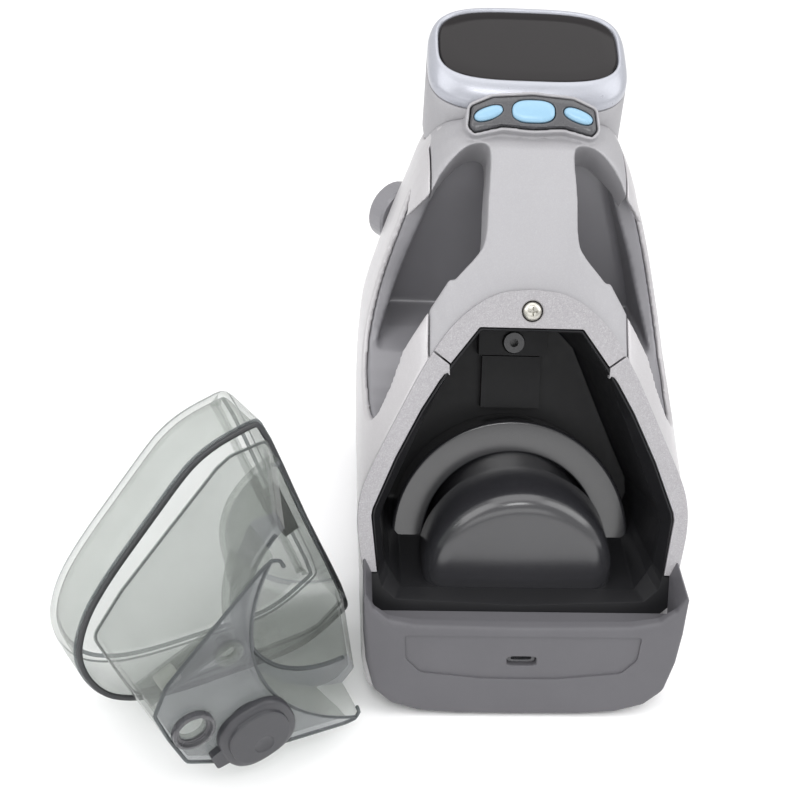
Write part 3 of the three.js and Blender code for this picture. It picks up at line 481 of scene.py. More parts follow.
secB = [(0, 4), (60, 4), (66, 12), (69, 50), (69.9, 78), (69.6, 95), (68.3, 112), (64, 130), (58.4, 149), (51.5, 168), (43, 187), (31, 199), (0, 201)]
secC = [(0, 4), (59, 4), (65, 12), (67.5, 50), (68, 78), (67.6, 95), (66.3, 112), (62, 130), (56.5, 149), (50, 168), (43.5, 187), (33, 203), (0, 206)]
secD = [(0, 9), (48, 9), (54, 17), (56.5, 50), (57, 78), (56.6, 95), (55.5, 112), (52.5, 130), (48, 148), (43, 164), (37, 179), (27, 190), (0, 193)]
gripHalf = [(0, -14), (46, -14), (40, -4), (33.5, 3.5), (28, 9.5), (23, 15), (20, 20), (18.6, 40), (18, 59.5), (19.2, 62.4), (22.4, 63.2), (27, 61.8), (32.5, 57), (38, 50.5), (43, 42.5), (60, 36), (60, 78), (0, 82)]
handSide = [(71.4, 100.2), (92, 139), (99, 152), (70, 175), (110, 215), (140, 217), (149, 203), (142, 188), (134, 160), (128, 130), (112, 108)]
bayOutHalf = [(0, 47), (53, 47.5), (61.5, 62), (63.6, 82), (62, 88.5), (49, 118.5), (37.3, 145.2), (24.5, 165.6), (0, 165.8)]
bayBackOut = [(0, 70), (57, 70.5), (60.2, 77), (60.6, 84), (60, 92), (46, 121), (32, 152.5), (20.5, 164.6), (0, 164.8)]

# ------------------------------------------------------------------ housing
def body_solid(name, t, k=5, ks=7, tail=0.0):
    maps = [rim(4.3 + t), ymap(128), ymap(168), ymap(190 - t), ymap(196 - t)]
    secs = [secA, secB, secC, [(a + (c - a) * 0.8, b + (d - b) * 0.8) for (a, b), (c, d) in zip(secC, secD)], secD]
    secs[4] = inset(mirror(secD), 3.5)
    loops = []
    for j, s in enumerate(secs):
        lp = mirror(s) if j != 4 else s
        if t:
            lp = inset(lp, t)
        loops.append([maps[j](*q) for q in smooth(lp, k)])
    n = len(loops[0])
    rows = []
    steps = [0, 0.33, 0.67, 1, 1.2, 1.4, 1.6, 1.8, 2, 2.25, 2.5, 2.75, 3, 3.3, 3.6, 4]
    for u in steps:
        u = min(u, 3.9999)
        rows.append([tuple(cr([L[i] for L in loops], u, False)) for i in range(n)])
    rows.append(loops[4])
    return loft3(name, rows)

outer = body_solid("outer", 0)
inner = body_solid("inner", 2.6)
grip_block = loft("grip_block", [smooth(mirror(gripHalf), 5)] * 2, [grip(-8), grip(24)])
hs = smooth(handSide, 5)
hand = prism("hand", hs, xmap(-90), xmap(90))
palm = loft("palm", [smooth(inset(mirror(secB), 6.5), 3), smooth(inset(mirror(secC), 9), 3)], [ymap(112), ymap(149)])
palmcut = prism("palmcut", [(60, 0), (180, 0), (180, 112), (128, 112), (60, 96)], xmap(-91), xmap(91))
boolean(palm, palmcut)
seat = loft("seat", [inset(mirror(bayOutHalf), -2.9), inset(mirror(bayBackOut), -2.9)], [rim(4.3), rim(65.9)])
cut = boolean(hand, palm, "UNION")
boolean(cut, grip_block, "DIFFERENCE", keep=True)
slantA, slantB, slantD = Vector((0.9969, -0.0671, 0.0413)), Vector((0, 0.524, 0.8517)), Vector((0.0788, 0.8491, -0.5223))
def slant(sx, d):
    def f(a, b):
        q = Vector((-45, 93, 145)) + slantA * a + slantB * b + slantD * d
        return (q.x * sx, q.y, q.z)
    return f
sl = [(12.2, 12), (-7.6, -19.9), (-10.5, -14.5), (-9.5, 4), (-2, 18), (9, 17)]
slants = [loft("slant%d" % i, [sl, sl], [slant(sx, -12), slant(sx, 13)]) for i, sx in enumerate((1, -1))]
for q_ in slants:
    boolean(cut, q_, "UNION", keep=True)
boolean(cut, seat)
podcut = prism("podcut", ellipse(43.7, 24.3, 96, 0, 170, 3.4), zmap(187.7), zmap(262))
slab = prism("slab", [(-95, -60), (95, -60), (95, 260), (-95, 260)], rim(-60), rim(4.3))
mouth = loft("mouth", [inset(mirror(bayOutHalf), -0.6), inset(mirror(bayOutHalf), -0.6), inset(mirror(bayBackOut), -0.6)], [rim(-20), rim(4), rim(63.6)])

well = copy_of(outer, "well")
boolean(well, inner, "INTERSECT", keep=True)
lower = prism("lower", [(-95, -20), (95, -20), (95, 118), (-95, 118)], lambda x, y: (x, y - 0, 94), lambda x, y: (x, y, -60))
lowcut = prism("lowcut", [(-40, -60), (260, -60), (260, 40), (150, 92), (118, 78), (60, 70), (-40, 44)], xmap(-99), xmap(99))
bpy.data.objects.remove(lower)
boolean(well, cut, keep=True)
boolean(well, lowcut)
boolean(well, podcut, keep=True)
boolean(well, copy_of(mouth, "mm"))
rearcut = prism("rearcut", [(152, -20), (260, -20), (260, 300), (152, 300)], xmap(-99), xmap(99))
boolean(well, rearcut)
boolean(well, copy_of(grip_block, "gg"))
organic(well, 1.0, 6)

grip_solid = copy_of(grip_block, "grip_solid")
boolean(grip_solid, outer, "INTERSECT", keep=True)
for q_ in slants:
    boolean(grip_solid, q_)
boolean(grip_solid, prism("wide", [(-41.5, -60), (41.5, -60), (41.5, 260), (-41.5, 260)], zmap(-60), zmap(300)), "INTERSECT")
for o in (copy_of(mouth, "m2"), copy_of(podcut, "p2"), copy_of(slab, "s2")):
    boolean(grip_solid, o)

shell = outer
for o in (inner, cut, mouth, podcut, slab):
    boolean(shell, o)

zone = prism("zone", [(-41.5, 150), (41.5, 150), (41.5, 300), (-41.5, 300)], rim(-30), rim(200))
zcut = prism("zcut", [(146, -20), (400, -20), (400, 400), (146, 400)], xmap(-99), xmap(99))
boolean(zone, zcut)
handle = copy_of(shell, "handle")
boolean(handle, zone, "INTERSECT", keep=True)
boolean(handle, grip_solid, "UNION")
seat_c = prism("seat_c", inset(mirror([(0, 68.6), (13, 69.6), (24.8, 66.4), (26.9, 69), (26, 77.8), (17, 82), (0, 83.4)]), -0.35), grip(-12), grip(6.2))
collar_b = prism("collar_b", uniq(inset(fillet(mirror([(0, 68.6), (13, 69.6), (24.8, 66.4), (26.9, 69), (26, 77.8), (17, 82), (0, 83.4)]), 2.5, 6), -1.8)), grip(-2.3), grip(9))
boolean(collar_b, prism("cbp", ellipse(43.7, 24.3, 96, 0, 170, 3.4), zmap(140), zmap(262)))
boolean(handle, collar_b, "UNION")
boolean(handle, seat_c)
organic(handle, 0.6, 9)
piece(handle, "housing", "silver", "handle_cover", "grip_underside", slot="silver_plastic")
handle.name = "grip_and_shoulders"

zone_g = prism("zone_g", [(-41.85, 149.65), (41.85, 149.65), (41.85, 301), (-41.85, 301)], rim(-31), rim(201))
zc2 = prism("zc2", [(146.3, -20), (400, -20), (400, 400), (146.3, 400)], xmap(-99), xmap(99))
boolean(zone_g, zc2)
boolean(shell, zone_g)
bpy.data.objects.remove(zone)
bpy.data.objects.remove(grip_block)
fl = prism("fl", [(-90, -30), (90, -30), (90, 260), (-90, 260)], zmap(-20), zmap(5.1))
boolean(shell, fl)
def boxo(name, x0, x1, y0, y1, z0, z1):
    return prism(name, [(x0, y0), (x1, y0), (x1, y1), (x0, y1)], zmap(z0), zmap(z1))
for nm, bx in (("left_side_shell", (-90, -0.15, -60, 176)), ("right_side_shell", (0.15, 90, -60, 176)), ("rear_cover", (-90, 90, 176.3, 230))):
    s = copy_of(shell, "s_" + nm)
    boolean(s, boxo("bb", bx[0], bx[1], bx[2], bx[3], -10, 300), "INTERSECT")
    organic(s, 0.9, 5)
    s.name = nm + "_skin"
    piece(s, "housing", "shell", nm, slot="shell_plastic")
bpy.data.objects.remove(shell)
well.name = "hand_well_skin"
piece(well, "housing", "well", "hand_well", slot="grey_plastic")

# ------------------------------------------------------------------ display pod
PT = rad(24); TT = math.tan(PT)
def pod(d):
    return lambda x, v: (x, 170 + v * math.cos(PT) + d * math.sin(PT), 229 + v * math.sin(PT) - d * math.cos(PT))
PV = 24 / math.cos(PT)
def pe(rx, rv, d, dv=0.0, p=3.4):
    return ellipse(rx, rv, 120, 0, dv - d * TT, p)
prof = [(8.5, 0.35, 0.35, 0), (7.9, 0, 0, 0), (5.4, 0.05, 0.05, 0), (4.2, 0.3, 0.4, 0.1), (2.6, 0.9, 1.3, 0.5), (1.2, 1.8, 2.6, 1.0), (0.35, 2.8, 3.8, 1.4), (0.0, 3.6, 4.9, 1.6),
        (0.15, 4.1, 5.4, 1.6), (0.9, 4.4, 5.7, 1.6), (2.6, 4.45, 5.75, 1.6), (2.7, 7, 8, 1.6), (8.4, 7, 8, 1.6)]
rows = [[pod(d)(*q) for q in pe(43.4 - a, PV - b, d, dv)] for d, a, b, dv in prof]
bez = loft3("display_bezel_ring", rows, caps="ring")
piece(bez, "housing", "bezel", "display_bezel", slot="silver_plastic")
rows = [[pod(d)(*q) for q in pe(43.4 - a, PV - b, d, 1.6)] for d, a, b in ((2.3, 4.8, 6.1), (0.9, 4.75, 6.05), (0.55, 5.0, 6.3), (0.4, 5.6, 6.9), (0.32, 12, 12), (0.28, 24, 19))]
lens = loft3("display_glass", rows)
piece(lens, "housing", "lens", "display_lens", slot="lens")
def podcol(rx, ry, z0, drop, n=120):
    lp = ellipse(rx, ry, n, 0, 170, 3.4)
    zt = lambda y: 229 + (y - 170) * TT - drop / math.cos(PT)
    return lp, zt
lp, zt = podcol(43.4, 24, 188, 8.9)
rows = [[(x * 0.985, 170 + (y - 170) * 0.985, 188) for x, y in lp], [(x, y, 190) for x, y in lp]]
for f in (0.25, 0.5, 0.75, 0.985):
    rows.append([(x, y, 190 + (zt(y) - 190) * f) for x, y in lp])
rows.append([(x * 0.992, 170 + (y - 170) * 0.992, zt(y)) for x, y in lp])
rows.append([(x * 0.94, 170 + (y - 170) * 0.9, zt(170 + (y - 170) * 0.9)) for x, y in lp])
rows.append([(x * 0.94, 170 + (y - 170) * 0.9, 188) for x, y in lp])
ps = loft3("pod_column", rows, caps="ring")
piece(ps, "housing", "silver", "pod_shell", slot="silver_plastic")

# ------------------------------------------------------------------ buttons
clusterHalf = [(0, 68.6), (13, 69.6), (24.8, 66.4), (26.9, 69), (26, 77.8), (17, 82), (0, 83.4)]
cl = fillet(mirror(clusterHalf), 2.5, 6)
def bloop(k, t):
    if k == 0:
        return ellipse(9 + t, 4.9 + t, 72, 0, 76, 2.7)
    a = rad(k * -22)
    return [(k * 18.9 + x * math.cos(a) - y * math.sin(a), 74.6 + x * math.sin(a) + y * math.cos(a)) for x, y in ellipse(6.3 + t, 2.7 + t, 64, 0, 0, 2.3)]
panel = loft("button_surround", [inset(cl, 2.2), inset(cl, 1.0), inset(cl, 0.3), cl, cl], [grip(-3.3), grip(-3.1), grip(-2.4), grip(-1.2), grip(5)])
for k in (-1, 0, 1):
    boolean(panel, loft("bh", [bloop(k, 0.8), bloop(k, 0.3), bloop(k, 0.3)], [grip(-3.4), grip(-2.8), grip(9)]))
bpc = prism("bpc", ellipse(43.8, 24.4, 96, 0, 170, 3.4), zmap(140), zmap(262))
boolean(panel, bpc)
organic(panel, 0.36, 2)
piece(panel, "housing", "grey", "button_panel", slot="grey_plastic")
for k, nm in ((0, "power_button"), (-1, "mode_button"), (1, "boost_button")):
    b = loft(nm + "_cap", [bloop(k, -3.2 if k == 0 else -1.9), bloop(k, -1.6 if k == 0 else -1.2), bloop(k, -0.6), bloop(k, -0.1), bloop(k, 0), bloop(k, 0)], [grip(-4.15), grip(-4.05), grip(-3.8), grip(-3.4), grip(-2.9), grip(3.6)])
    if k == 0:
        boolean(b, prism("behind_b", [(144.6, -20), (400, -20), (400, 400), (144.6, 400)], xmap(-99), xmap(99)))
    piece(b, nm, "blue", nm, slot="button_blue")

# ------------------------------------------------------------------ rim
def open_smooth(p, k=4):
    return smooth(p, k, closed=False)
outR = open_smooth(rimHalf[:10], 4)
inR = fillet([(61.2, 60), (64.2, 84.1), (63.7, 87.3), (54.8, 109.2), (44.7, 129.6), (33.3, 148.7), (30, 100)], 2.5, 4)[6:-6]
inR = [(61.2, 60)] + [q for q in inR if q[1] > 61 and not (q[0] < 33.2)]
def shift(pts, t):
    # the split line runs across the band; its ends stay where they are, the points come back unchanged
    return pts
for sx, nm in ((-1, "rim_left"), (1, "rim_right")):
    o_ = outR[:-1] + [(40.4, 153.5)]
    i_ = [q for q in inR if q[1] < 148.2] + [(33.5, 148.4)]
    lp = [(sx * x, h) for x, h in o_ + i_[::-1]]
    b = prism(nm + "_band", lp, rim(0.05), rim(4))
    edgesplit_smooth(b, 30); bevel(b, 0.9, 4, 35)
    piece(b, "housing", "rim", nm, slot="rim_silver")
archO = open_smooth(rimHalf[9:], 5)
archO = [(39.9, 154.2)] + archO[1:]
half_o = archO
half_i = [(33.1, 149.05)] + fillet([(33.1, 149.05), (21.6, 164.3), (0, 164.3)], 1.5, 5)[6:12] + [(0, 164.3)]
lp = half_o + [(-x, h) for x, h in half_o[-2::-1]] + [(-x, h) for x, h in half_i] + half_i[-2::-1]
arch = prism("rim_arch_band", lp, rim(0.05), rim(4))
Nn, Un = Vector((0, C28, -S28)), Vector((0, S28, C28))
hole = ringlathe("hole", [(0, -6), (4.9, -6), (4.9, 0.05), (4.45, 0.5), (4.45, 9), (0, 9)], rim(0)(0, 171.2), Nn, 48)
boolean(arch, hole)
edgesplit_smooth(arch, 30); bevel(arch, 0.8, 4, 35)
piece(arch, "housing", "rim", "rim_arch", slot="rim_silver")
# screw: domed pan head with a cross recess
sc = ringlathe("rim_screw_head", [(0, -0.9), (1.4, -0.85), (2.6, -0.55), (3.5, 0.0), (4.0, 0.7), (4.1, 1.4), (4.1, 3.3), (0, 3.3)], rim(0)(0, 171.2), Nn, 64)
cx_ = loft("cx", [[(-2.2, 170.75), (2.2, 170.75), (2.2, 171.65), (-2.2, 171.65)], [(-1.6, 170.9), (1.6, 170.9), (1.6, 171.5), (-1.6, 171.5)]], [rim(-2), rim(1.0)])
cy_ = loft("cy", [[(-0.45, 169.0), (0.45, 169.0), (0.45, 173.4), (-0.45, 173.4)], [(-0.3, 169.6), (0.3, 169.6), (0.3, 172.8), (-0.3, 172.8)]], [rim(-2), rim(1.0)])
boolean(sc, cx_); boolean(sc, cy_)
edgesplit_smooth(sc, 35)
piece(sc, "housing", "steel", "rim_screw", slot="steel")

# ------------------------------------------------------------------ bay
def match(half, rs):
    return fillet(mirror(half), rs, 4)
ob_ = [(0, 40), (58, 41), (66.3, 48), (66.8, 59.6), (60.9, 59.7), (63.8, 84.1), (63.3, 87.3), (54.4, 109), (44.3, 129.4), (33.0, 148.4), (21.4, 163.9), (0, 163.9)]
ib_ = [(0, 46.5), (53, 48.6), (58.6, 53.6), (60.0, 57.5), (60.4, 60), (62.7, 84), (62.2, 87), (53.4, 108.5), (43.3, 128.8), (32.1, 147.4), (20.9, 162.8), (0, 163)]
bb_ = [(0, 51.6), (50.4, 51.8), (55.4, 59.2), (57.4, 62.5), (58, 63.5), (60.3, 81.4), (58.9, 87), (50.8, 106.2), (42.5, 125.6), (35, 143), (22.7, 162), (0, 162.2)]
LO, LI, LB = match(ob_, 1.2), match(ib_, 2.0), match(bb_, 2.4)
rows = [[rim(8)(*q) for q in LO], [rim(0.9)(*q) for q in LO], [rim(0.45)(*q) for q in inset(LO, 0.35)]]
rows += [[rim(0.45)(*q) for q in inset(LI, -0.3)], [rim(0.8)(*q) for q in LI]]
for f in (0.5, 1.0):
    rows.append([rim(0.8 + 7.2 * f)(a[0] + (b[0] - a[0]) * f, a[1] + (b[1] - a[1]) * f) for a, b in zip(LI, LB)])
bz = loft3("bay_bevel", rows, caps="ring")
edgesplit_smooth(bz, 32); bevel(bz, 0.25, 2, 40)
piece(bz, "housing", "dark", "bay_bezel", slot="dark_plastic")

bk_ = [(0, FL), (50.5, FL + 0.05), (54.5, FL + 0.4), (55.9, FL + 1.8), (56.3, FL + 3), (57, 84), (56.4, 91), (49.7, 105), (43, 119.5), (29, 151), (18.6, 161.4), (0, 161.6)]
LK = match(bk_, 3.0)
mid_rows = []
for f in (0, 0.35, 0.7, 0.965):
    d = 8.3 + (60 - 8.3) * f
    mid_rows.append([rim(d)(a[0] + (b[0] - a[0]) * f, a[1] + (b[1] - a[1]) * f) for a, b in zip(LB, LK)])
end = [rim(59.5)(*q) for q in inset(LK, 0.5)]
end2 = [rim(60)(*q) for q in inset(LK, 2.2)]
rows = [[rim(61.8)(*q) for q in inset(LK, -1.2)], [rim(8.3)(*q) for q in inset(LB, -1.6)]] + mid_rows + [end, end2]
ln = loft3("bay_lining", rows)
edgesplit_smooth(ln, 32)
piece(ln, "housing", "dark", "bay_liner", slot="dark_plastic")

def fil(profile, r, seg=5):
    """Rounded corners on a (r, t) profile that starts and ends on the axis or is closed."""
    out = []
    n = len(profile)
    on_axis = profile[0][0] < 1e-6
    for i, c in enumerate(profile):
        if on_axis and i in (0, n - 1):
            out.append(c); continue
        rr = r[i] if isinstance(r, (list, tuple)) else r
        a, b = Vector(profile[i - 1]), Vector(profile[(i + 1) % n]); c = Vector(c)
        if rr <= 0:
            out.append(tuple(c)); continue
        u, v = (a - c), (b - c)
        t1 = min(rr, 0.45 * u.length, 0.45 * v.length)
        p, q = c + u.normalized() * t1, c + v.normalized() * t1
        for k in range(seg + 1):
            w = k / seg
            out.append(tuple(p * (1 - w) ** 2 + c * (2 * w * (1 - w)) + q * w ** 2))
    return out
ringN = -Nn
col_prof = fil([(39.6, 0), (53.6, 0), (53.6, -21.5), (39.6, -21.5)], [0.8, 1.6, 0, 0])
cring = ringlathe("collar_ring", col_prof, rim(38)(0, 66), ringN, 144)
under = boxo("under", -99, 99, -60, 260, -60, 41.2)
boolean(cring, under)
edgesplit_smooth(cring, 32)
piece(cring, "housing", "drum", "motor_collar", slot="grey_plastic")
AX = Vector((0, -math.cos(rad(8)), math.sin(rad(8))))
ring0 = Vector(rim(38)(0, 66))
dome_prof = fil([(0, 33), (41.0, 33), (41.6, 8), (37.6, -1), (37, -22), (34.8, -22), (35.4, 0), (38.8, 20), (38.2, 30.6), (0, 30.6)], [0, 9.5, 0, 0, 0, 0, 0, 0, 5, 0], 10)
dm = ringlathe("motor_dome_cap", dome_prof, ring0, AX, 160)
under2 = boxo("under2", -99, 99, -60, 260, -60, 9)
boolean(dm, under2)
edgesplit_smooth(dm, 40)
piece(dm, "housing", "drum", "motor_dome", slot="grey_plastic")

# ------------------------------------------------------------------ chin
def chin(d):
    return lambda x, z: (x, -2.8 + 0.227 * z + d, z)
chinHalf = [(0, 1.2), (26, 1.4), (42, 2.6), (54, 6.2), (61.8, 13.2), (65.4, 27), (66.9, 41), (67.2, 57.5), (66.4, 58.4), (62.4, 51.2), (56.5, 46), (45, 43.6), (0, 42.8)]
cf = uniq(fillet(mirror(chinHalf), [0, 0, 6, 6, 6, 6, 0, 0.5, 0.5, 3, 4, 4, 0] + [4, 4, 3, 0.5, 0.5, 0, 6, 6, 6, 6, 0], 5))
horns = [(67.2, 58.4), (-67.2, 58.4)]
ch = loft("chin_cover", [inset_taper(cf, 2.6, horns), inset_taper(cf, 1.3, horns), inset_taper(cf, 0.5, horns), inset_taper(cf, 0.12, horns), cf, cf],
          [chin(-1.3), chin(-1.15), chin(-0.75), chin(-0.2), chin(0.6), chin(31)])
boolean(ch, prism("rp", [(-200, -200), (200, -200), (200, 260), (-200, 260)], rim(0), rim(120)))
zy = -2.8 + 0.227 * 43
boolean(ch, loft("trough", [[(zy + 3.4, 80), (zy + 3.4, 43.2), (zy + 4.2, 41.4), (zy + 6.4, 38.4), (40, 38.4), (40, 80)]] * 2, [xmap(-63.4), xmap(63.4)]))
cp = uniq(fillet(mirror([(0, 19), (16, 19.2), (42.5, 22), (48.8, 28.5), (49.6, 39.6), (0, 39.6)]), [0, 3, 5, 4, 1.5, 0, 1.5, 4, 5, 3], 5))
boolean(ch, loft("panel", [inset(cp, -0.5), cp, cp], [chin(-3), chin(-1.3), chin(-0.6)]))
boolean(ch, loft("slot", [ellipse(6.9, 2.9, 64, 0, 27, 4.5), ellipse(6.2, 2.3, 64, 0, 27, 4.5), ellipse(6.2, 2.3, 64, 0, 27, 4.5)], [chin(-1.0), chin(-0.1), chin(8)]))
edgesplit_smooth(ch, 30)
bevel(ch, 0.5, 3, 32)
piece(ch, "housing", "chin", "chin_bumper", slot="chin_plastic")

# ------------------------------------------------------------------ tank
G = 0.92
thalf = [(0, 0), (57.5, 0.1), (61.2, 1.6), (62.6, 5.0)] + [(x * G, (h - 60) * G) for x, h in rimHalf[1:]]
TL = smooth(mirror(thalf), 4)
def tl(t): return inset(TL, t)
crows = [(7.5, -27.2), (4.4, -26.9), (3.0, -25.8), (2.4, -23.5), (2.2, -1), (0.25, -1), (0, -1.3), (0, -22.5), (0.5, -26.0), (0.85, -27.0), (1.6, -28.4), (3.2, -29.45), (4.1, -29.7), (5.0, -29.8), (9, -29.9)]
cv = loft3("tank_cover_shell", [[tk(d)(*q) for q in tl(t)] for t, d in crows])
edgesplit_smooth(cv, 50)
# painted shade: polygons in the cover's corner band and at its open rim get the darker edge material, for the dark
# lines along these bends
painted_shade_lines = []
for p in cv.data.polygons:
    d_ = (Vector(p.center) - T0).dot(TY)
    if -26.95 < d_ < -26.05 or -1.25 < d_ < -0.9:
        painted_shade_lines.append(p.index)
piece(cv, "tank", "cover", "tank_cover", slot="clear_smoke")
cv.data.materials.append(M["edge"])
for i in painted_shade_lines:
    cv.data.polygons[i].material_index = 1
grow_ = [(0.75, -0.3), (1.0, -0.55), (2.6, -0.55), (2.9, -0.3), (2.9, 0.75), (2.6, 1.0), (1.0, 1.0), (0.75, 0.75)]
gs = loft3("tank_seal", [[tk(d)(*q) for q in tl(t)] for t, d in grow_], caps="ring")
piece(gs, "tank", "seal", "tank_gasket", slot="black_rubber")

tubF = [(0, 1.8), (53, 2.2), (57.2, 18), (56, 25), (43.6, 54), (32.2, 80), (21, 98.6), (0, 99)]
tubK = [(0, 29.6), (50.5, 29.8), (53.4, 33), (52, 38), (39, 64), (26.6, 88), (16.4, 97.4), (0, 98)]
rF = [0, 4, 5, 5, 0, 0, 8, 0, 8, 0, 0, 5, 5, 4]
rK = [0, 2, 2, 2, 0, 3, 4, 0, 4, 3, 0, 2, 2, 2]
TF, TKl = fillet(mirror(tubF), rF, 5), fillet(mirror(tubK), rK, 5)
def shrunk(half, rs, t):
    return fillet(inset(mirror(half), t), [max(0.7, q - t) if q else 0 for q in rs], 5) if t else fillet(mirror(half), rs, 5)
def tubrow(f, t, extra=0.0):
    # from the front loop (f 0) to the back plate (f 1)
    A, B = shrunk(tubF, rF, t), shrunk(tubK, rK, t)
    out = []
    for a, b in zip(A, B):
        x, z = a[0] + (b[0] - a[0]) * f, a[1] + (b[1] - a[1]) * f
        d = 2.3 + (60 - 0.1 * b[1] - 2.3) * f + extra
        out.append(tp(x, d, z))
    return out
solid = loft3("tank_tub", [tubrow(0, 0), tubrow(0.35, 0), tubrow(0.7, 0), tubrow(0.97, 0.0), tubrow(1.0, 1.1)])
TA = Vector((0, -math.cos(rad(20)), -math.sin(rad(20))))
def t_dir(v): return TX * v[0] + TY * v[1] + TZ * v[2]
cup_axis = t_dir(TA)
cup0 = Vector(tp(0, 38, 6))
def tcyl(name, r, t0, t1, base, axis, seg=128, rr=0.0):
    prof = [(0, t0), (r, t0), (r, t1), (0, t1)]
    if rr: prof = fil(prof, [0, 0, rr, 0], 6)
    return ringlathe(name, prof, base, axis, seg)
def lowz(name, z):  # everything below z in the tank frame
    return loft(name, [[(-120, -200), (120, -200), (120, z), (-120, z)]] * 2, [tk(-90), tk(120)])
rl = uniq(shrunk(tubF, rF, 0.6))
reach = loft("reach", [rl, rl], [tk(-13), tk(8)])
cupo = tcyl("cupo", 45.7, -60, 37.5, cup0, cup_axis, rr=6)
nose = copy_of(cupo, "nose"); boolean(nose, reach, "INTERSECT"); boolean(nose, lowz("lz", 2.6))
boolean(solid, nose, "UNION")
cav = loft3("cav", [tubrow(-0.02, 2.2), tubrow(0.5, 2.2), tubrow(1.0, 2.2, -2.2)])
boolean(cav, copy_of(cupo, "c1"))
stepb = Vector(tp(-1, 34.3, -12))
boolean(cav, tcyl("so", 70.2, 0, 60, stepb, TY))
boolean(solid, cav)
cupi = tcyl("cupi", 43.5, -90, 35.3, cup0, cup_axis, rr=5)
boolean(solid, cupi)
boolean(solid, tcyl("si", 68, 2.2, 60, stepb, TY))
bN = t_dir(Vector((0, 1, 0.1)).normalized())
def bk(x, z, up=0.0): return Vector(tp(x, 60 - 0.1 * z, z)) + bN * up
boolean(solid, tcyl("h1", 5.2, -12, 12, bk(0, 88), bN, 64))
boolean(solid, tcyl("h2", 10.4, -12, 12, bk(21, 69), bN, 64))
boolean(solid, tcyl("h3", 3.4, -12, 12, bk(-24, 62.5), bN, 48))
bpy.data.objects.remove(cupo)
edgesplit_smooth(solid, 30)
bevel(solid, 0.8, 3, 32)
piece(solid, "tank", "clear", "tank_body", slot="clear_smoke")
solid.data.materials.append(M["plate"])
solid.data.materials.append(M["edge"])
# painted shade: the tub's bevel faces take the darker edge material, for the dark lines along its rounded edges
for mo in solid.modifiers:
    if mo.type == "BEVEL":
        mo.material = 2
for p in solid.data.polygons:
    if p.normal.dot(bN) > 0.97:
        p.material_index = 1
# thickened edges of the tub; they carry the darker edge material, painted shade for the dark lines along the tub's
# edges
def bead(name, pts, rad_, closed=True, seg=8):
    P = [Vector(q) for q in pts]
    n = len(P)
    rows = []
    for i in range(n):
        a = P[i - 1] if (closed or i) else P[i]
        b = P[(i + 1) % n] if (closed or i < n - 1) else P[i]
        t = (b - a).normalized()
        u = (TY - t * TY.dot(t)).normalized(); v = t.cross(u)
        rows.append([tuple(P[i] + u * (rad_ * math.cos(2 * math.pi * k / seg)) + v * (rad_ * math.sin(2 * math.pi * k / seg))) for k in range(seg)])
    return loft3(name, rows, caps="ring" if closed else True)
def onplate(x, z, up=-0.2): return tuple(bk(x, z, up))
kl = resample(uniq(shrunk(tubK, rK, 0.7)), 160)
step_arc = [onplate(-1 + 69.1 * math.cos(rad(a)), -12 + 69.1 * math.sin(rad(a))) for a in range(40, 139, 2)]
cup_arc = [tp(44.4 * math.cos(rad(a)), 36.2, 6 + 44.4 * 1.04 * math.sin(rad(a))) for a in range(20, 161, 3)]
front = resample(uniq(shrunk(tubF, rF, 0.7)), 160)
keep_k = [not (z < 32 and abs(x) < 45) for x, z in kl]
st = next(i for i in range(len(kl)) if keep_k[i] and not keep_k[i - 1])
kl = [q for q in kl[st:] + kl[:st] if not (q[1] < 32 and abs(q[0]) < 45)]
parts_ = [bead("b0", [onplate(x, z, -0.3) for x, z in kl], 0.75, False), bead("b1", step_arc, 0.6, False), bead("b2", cup_arc, 0.95, False), bead("b3", [tp(x, 2.9, z) for x, z in front], 0.5)]
beads = join("tank_edges", parts_)
for p in beads.data.polygons: p.use_smooth = True
piece(beads, "tank", "edge", slot="clear_smoke")
# ring, cap, boss, float tube, float bead
rg = ringlathe("tank_port_collar", fil([(5.5, 0.3), (8.5, 0.3), (8.3, 3.2), (7.0, 3.4), (6.8, 1.6), (5.5, 1.6)], 0.35, 3), bk(0, 88), bN, 80)
piece(rg, "tank", "grey", "tank_port_ring", slot="grey_plastic")
def capl(t, p=2.5): return ellipse(15.4 - t, 15.4 - t, 120, 21, 69, p)
def kd(up): return lambda x, z: tuple(bk(x, z, up))
cap = loft("drain_cap_lid", [capl(0.4), capl(0), capl(0), capl(0.5), capl(1.4), capl(2.6, 2.4), capl(3.0, 2.4), capl(3.3, 2.4), capl(4.0, 2.3)],
           [kd(0.3), kd(0.7), kd(2.9), kd(3.8), kd(4.3), kd(4.4), kd(4.6), kd(5.7), kd(6.0)])
plug = tcyl("plug", 9.9, -4.6, 1.5, bk(21, 69), bN, 72)
boolean(cap, plug, "UNION")
boolean(cap, ringlathe("dim", fil([(0, 4.9), (4.2, 5.6), (4.6, 9), (0, 9)], [0, 1, 0, 0], 4), bk(25.5, 69), bN, 48))
ear = loft("ear", [fillet([(16.4, 80), (26.6, 80), (25.4, 88.6), (17.6, 88.6)], 1.6, 4)] * 3, [kd(0.4), kd(2.6), kd(3.6)])
boolean(cap, ear, "UNION")
bar = loft("bar", [fillet([(9.5, 66.9), (33, 66.9), (33, 71.1), (9.5, 71.1)], 1.6, 4)] * 3, [kd(4.2), kd(5.6), kd(6.4)])
edgesplit_smooth(cap, 32)
bevel(cap, 0.3, 3, 35)
bpy.data.objects.remove(bar)
piece(cap, "drain_cap", "cap", "drain_cap", slot="grey_plastic")
bo = ringlathe("boss_cap", fil([(0, 2.3), (1.2, 2.3), (1.2, 1.5), (4.4, 1.7), (5.6, 1.2), (5.6, 0.3), (2.8, 0.3), (2.8, -7), (0, -7)], 0.3, 3), bk(-24, 62.5), bN, 64)
piece(bo, "tank", "clear", "boss_screw", slot="clear_smoke")
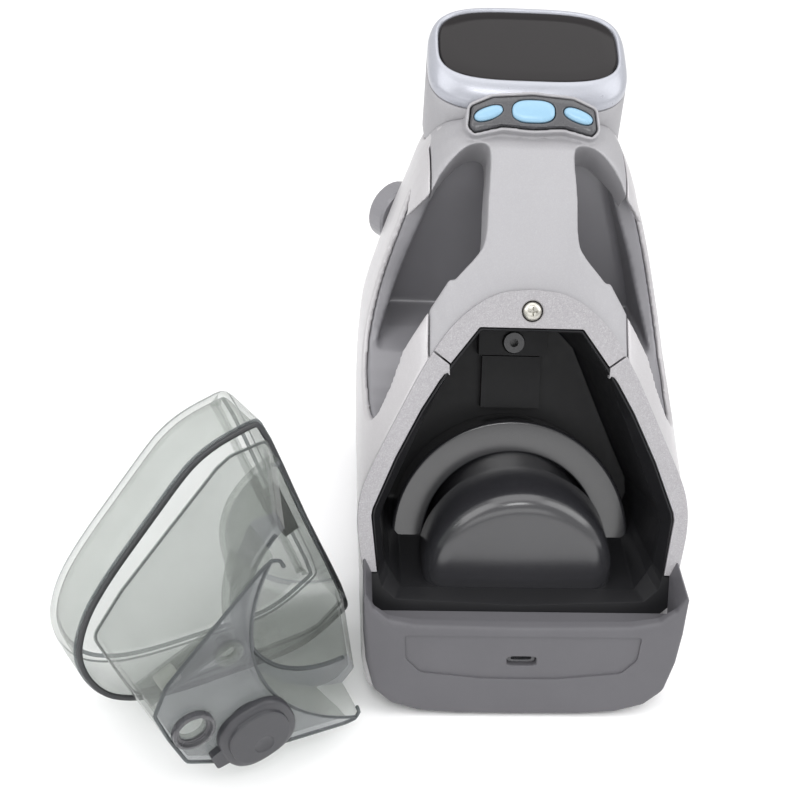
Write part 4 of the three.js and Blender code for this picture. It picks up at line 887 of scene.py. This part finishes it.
ft = ringlathe("float_guide", fil([(4.4, 0), (5.5, 0), (5.5, 40), (4.4, 40)], 0.3, 2), tp(0, 24, 56), TZ, 64)
piece(ft, "tank", "clear", "float_tube", slot="clear_smoke")
fb_ = ringlathe("float_bead", fil([(0, 0), (3.9, 0), (3.9, 9), (0, 9)], [0, 1.4, 1.4, 0], 5), tp(0, 24, 80), TZ, 48)
piece(fb_, "float", "white", "float_ball", slot="float_white")

# ------------------------------------------------------------------ pieces kept from the frame
for n_ in NODES:
    if n_ in DONE:
        continue
    mm = {"display_board": "green", "button_board": "green", "control_board": "green", "battery_pack": "wrap", "water_pump": "grey", "suction_motor": "steel",
          "impeller": "grey", "port_block": "dark", "port_nozzle": "grey", "duct_cover": "dark", "latch_slot_insert": "grey", "base_plate": "dark", "hose_port": "well",
          "tank_clip": "black"}.get(n_, "black")
    keep(n_, mm, 0.35 if n_ not in ("port_nozzle", "impeller", "button_board", "display_board") else 0)

# ------------------------------------------------------------------ stage and light
def area(name, loc, target, size, power, colr=(1, 1, 1)):
    l = bpy.data.lights.new(name, "AREA"); l.shape = "RECTANGLE"; l.size, l.size_y = size; l.energy = power; l.color = colr
    o = bpy.data.objects.new(name, l); col.objects.link(o)
    o.location = W(loc)
    d = (W(target) - W(loc)).normalized()
    o.rotation_euler = d.to_track_quat("-Z", "Y").to_euler()
    return o
mid = (0, 60, 110)
area("key_left", (-700, -300, 800), mid, (0.7, 0.9), 4.2)
area("key_right", (750, -150, 700), mid, (0.6, 0.9), 3.4)
area("top", (0, 200, 1100), mid, (1.0, 0.8), 3.4)
area("front_low", (-60, -900, 350), mid, (1.0, 0.35), 1.3)
area("front_high", (20, -560, 980), (10, 60, 60), (0.35, 0.2), 1.6)
fm = bpy.data.materials.new("floor"); fm.use_nodes = True
fb = fm.node_tree.nodes["Principled BSDF"]; fb.inputs["Base Color"].default_value = (0.94, 0.94, 0.945, 1); fb.inputs["Roughness"].default_value = 0.9
fb.inputs["Specular IOR Level"].default_value = 0.1
fme = bpy.data.meshes.new("floor")
fme.from_pydata([(-8, -8, -0.0003), (8, -8, -0.0003), (8, 8, -0.0003), (-8, 8, -0.0003)], [], [(0, 1, 2, 3)])
fo = bpy.data.objects.new("floor", fme); col.objects.link(fo); fme.materials.append(fm)
w = bpy.data.worlds.new("w"); w.use_nodes = True; bpy.context.scene.world = w
bg = w.node_tree.nodes["Background"]; bg.inputs[0].default_value = (1, 1, 1, 1); bg.inputs[1].default_value = 0.85
bpy.context.scene.view_settings.view_transform = "Standard"
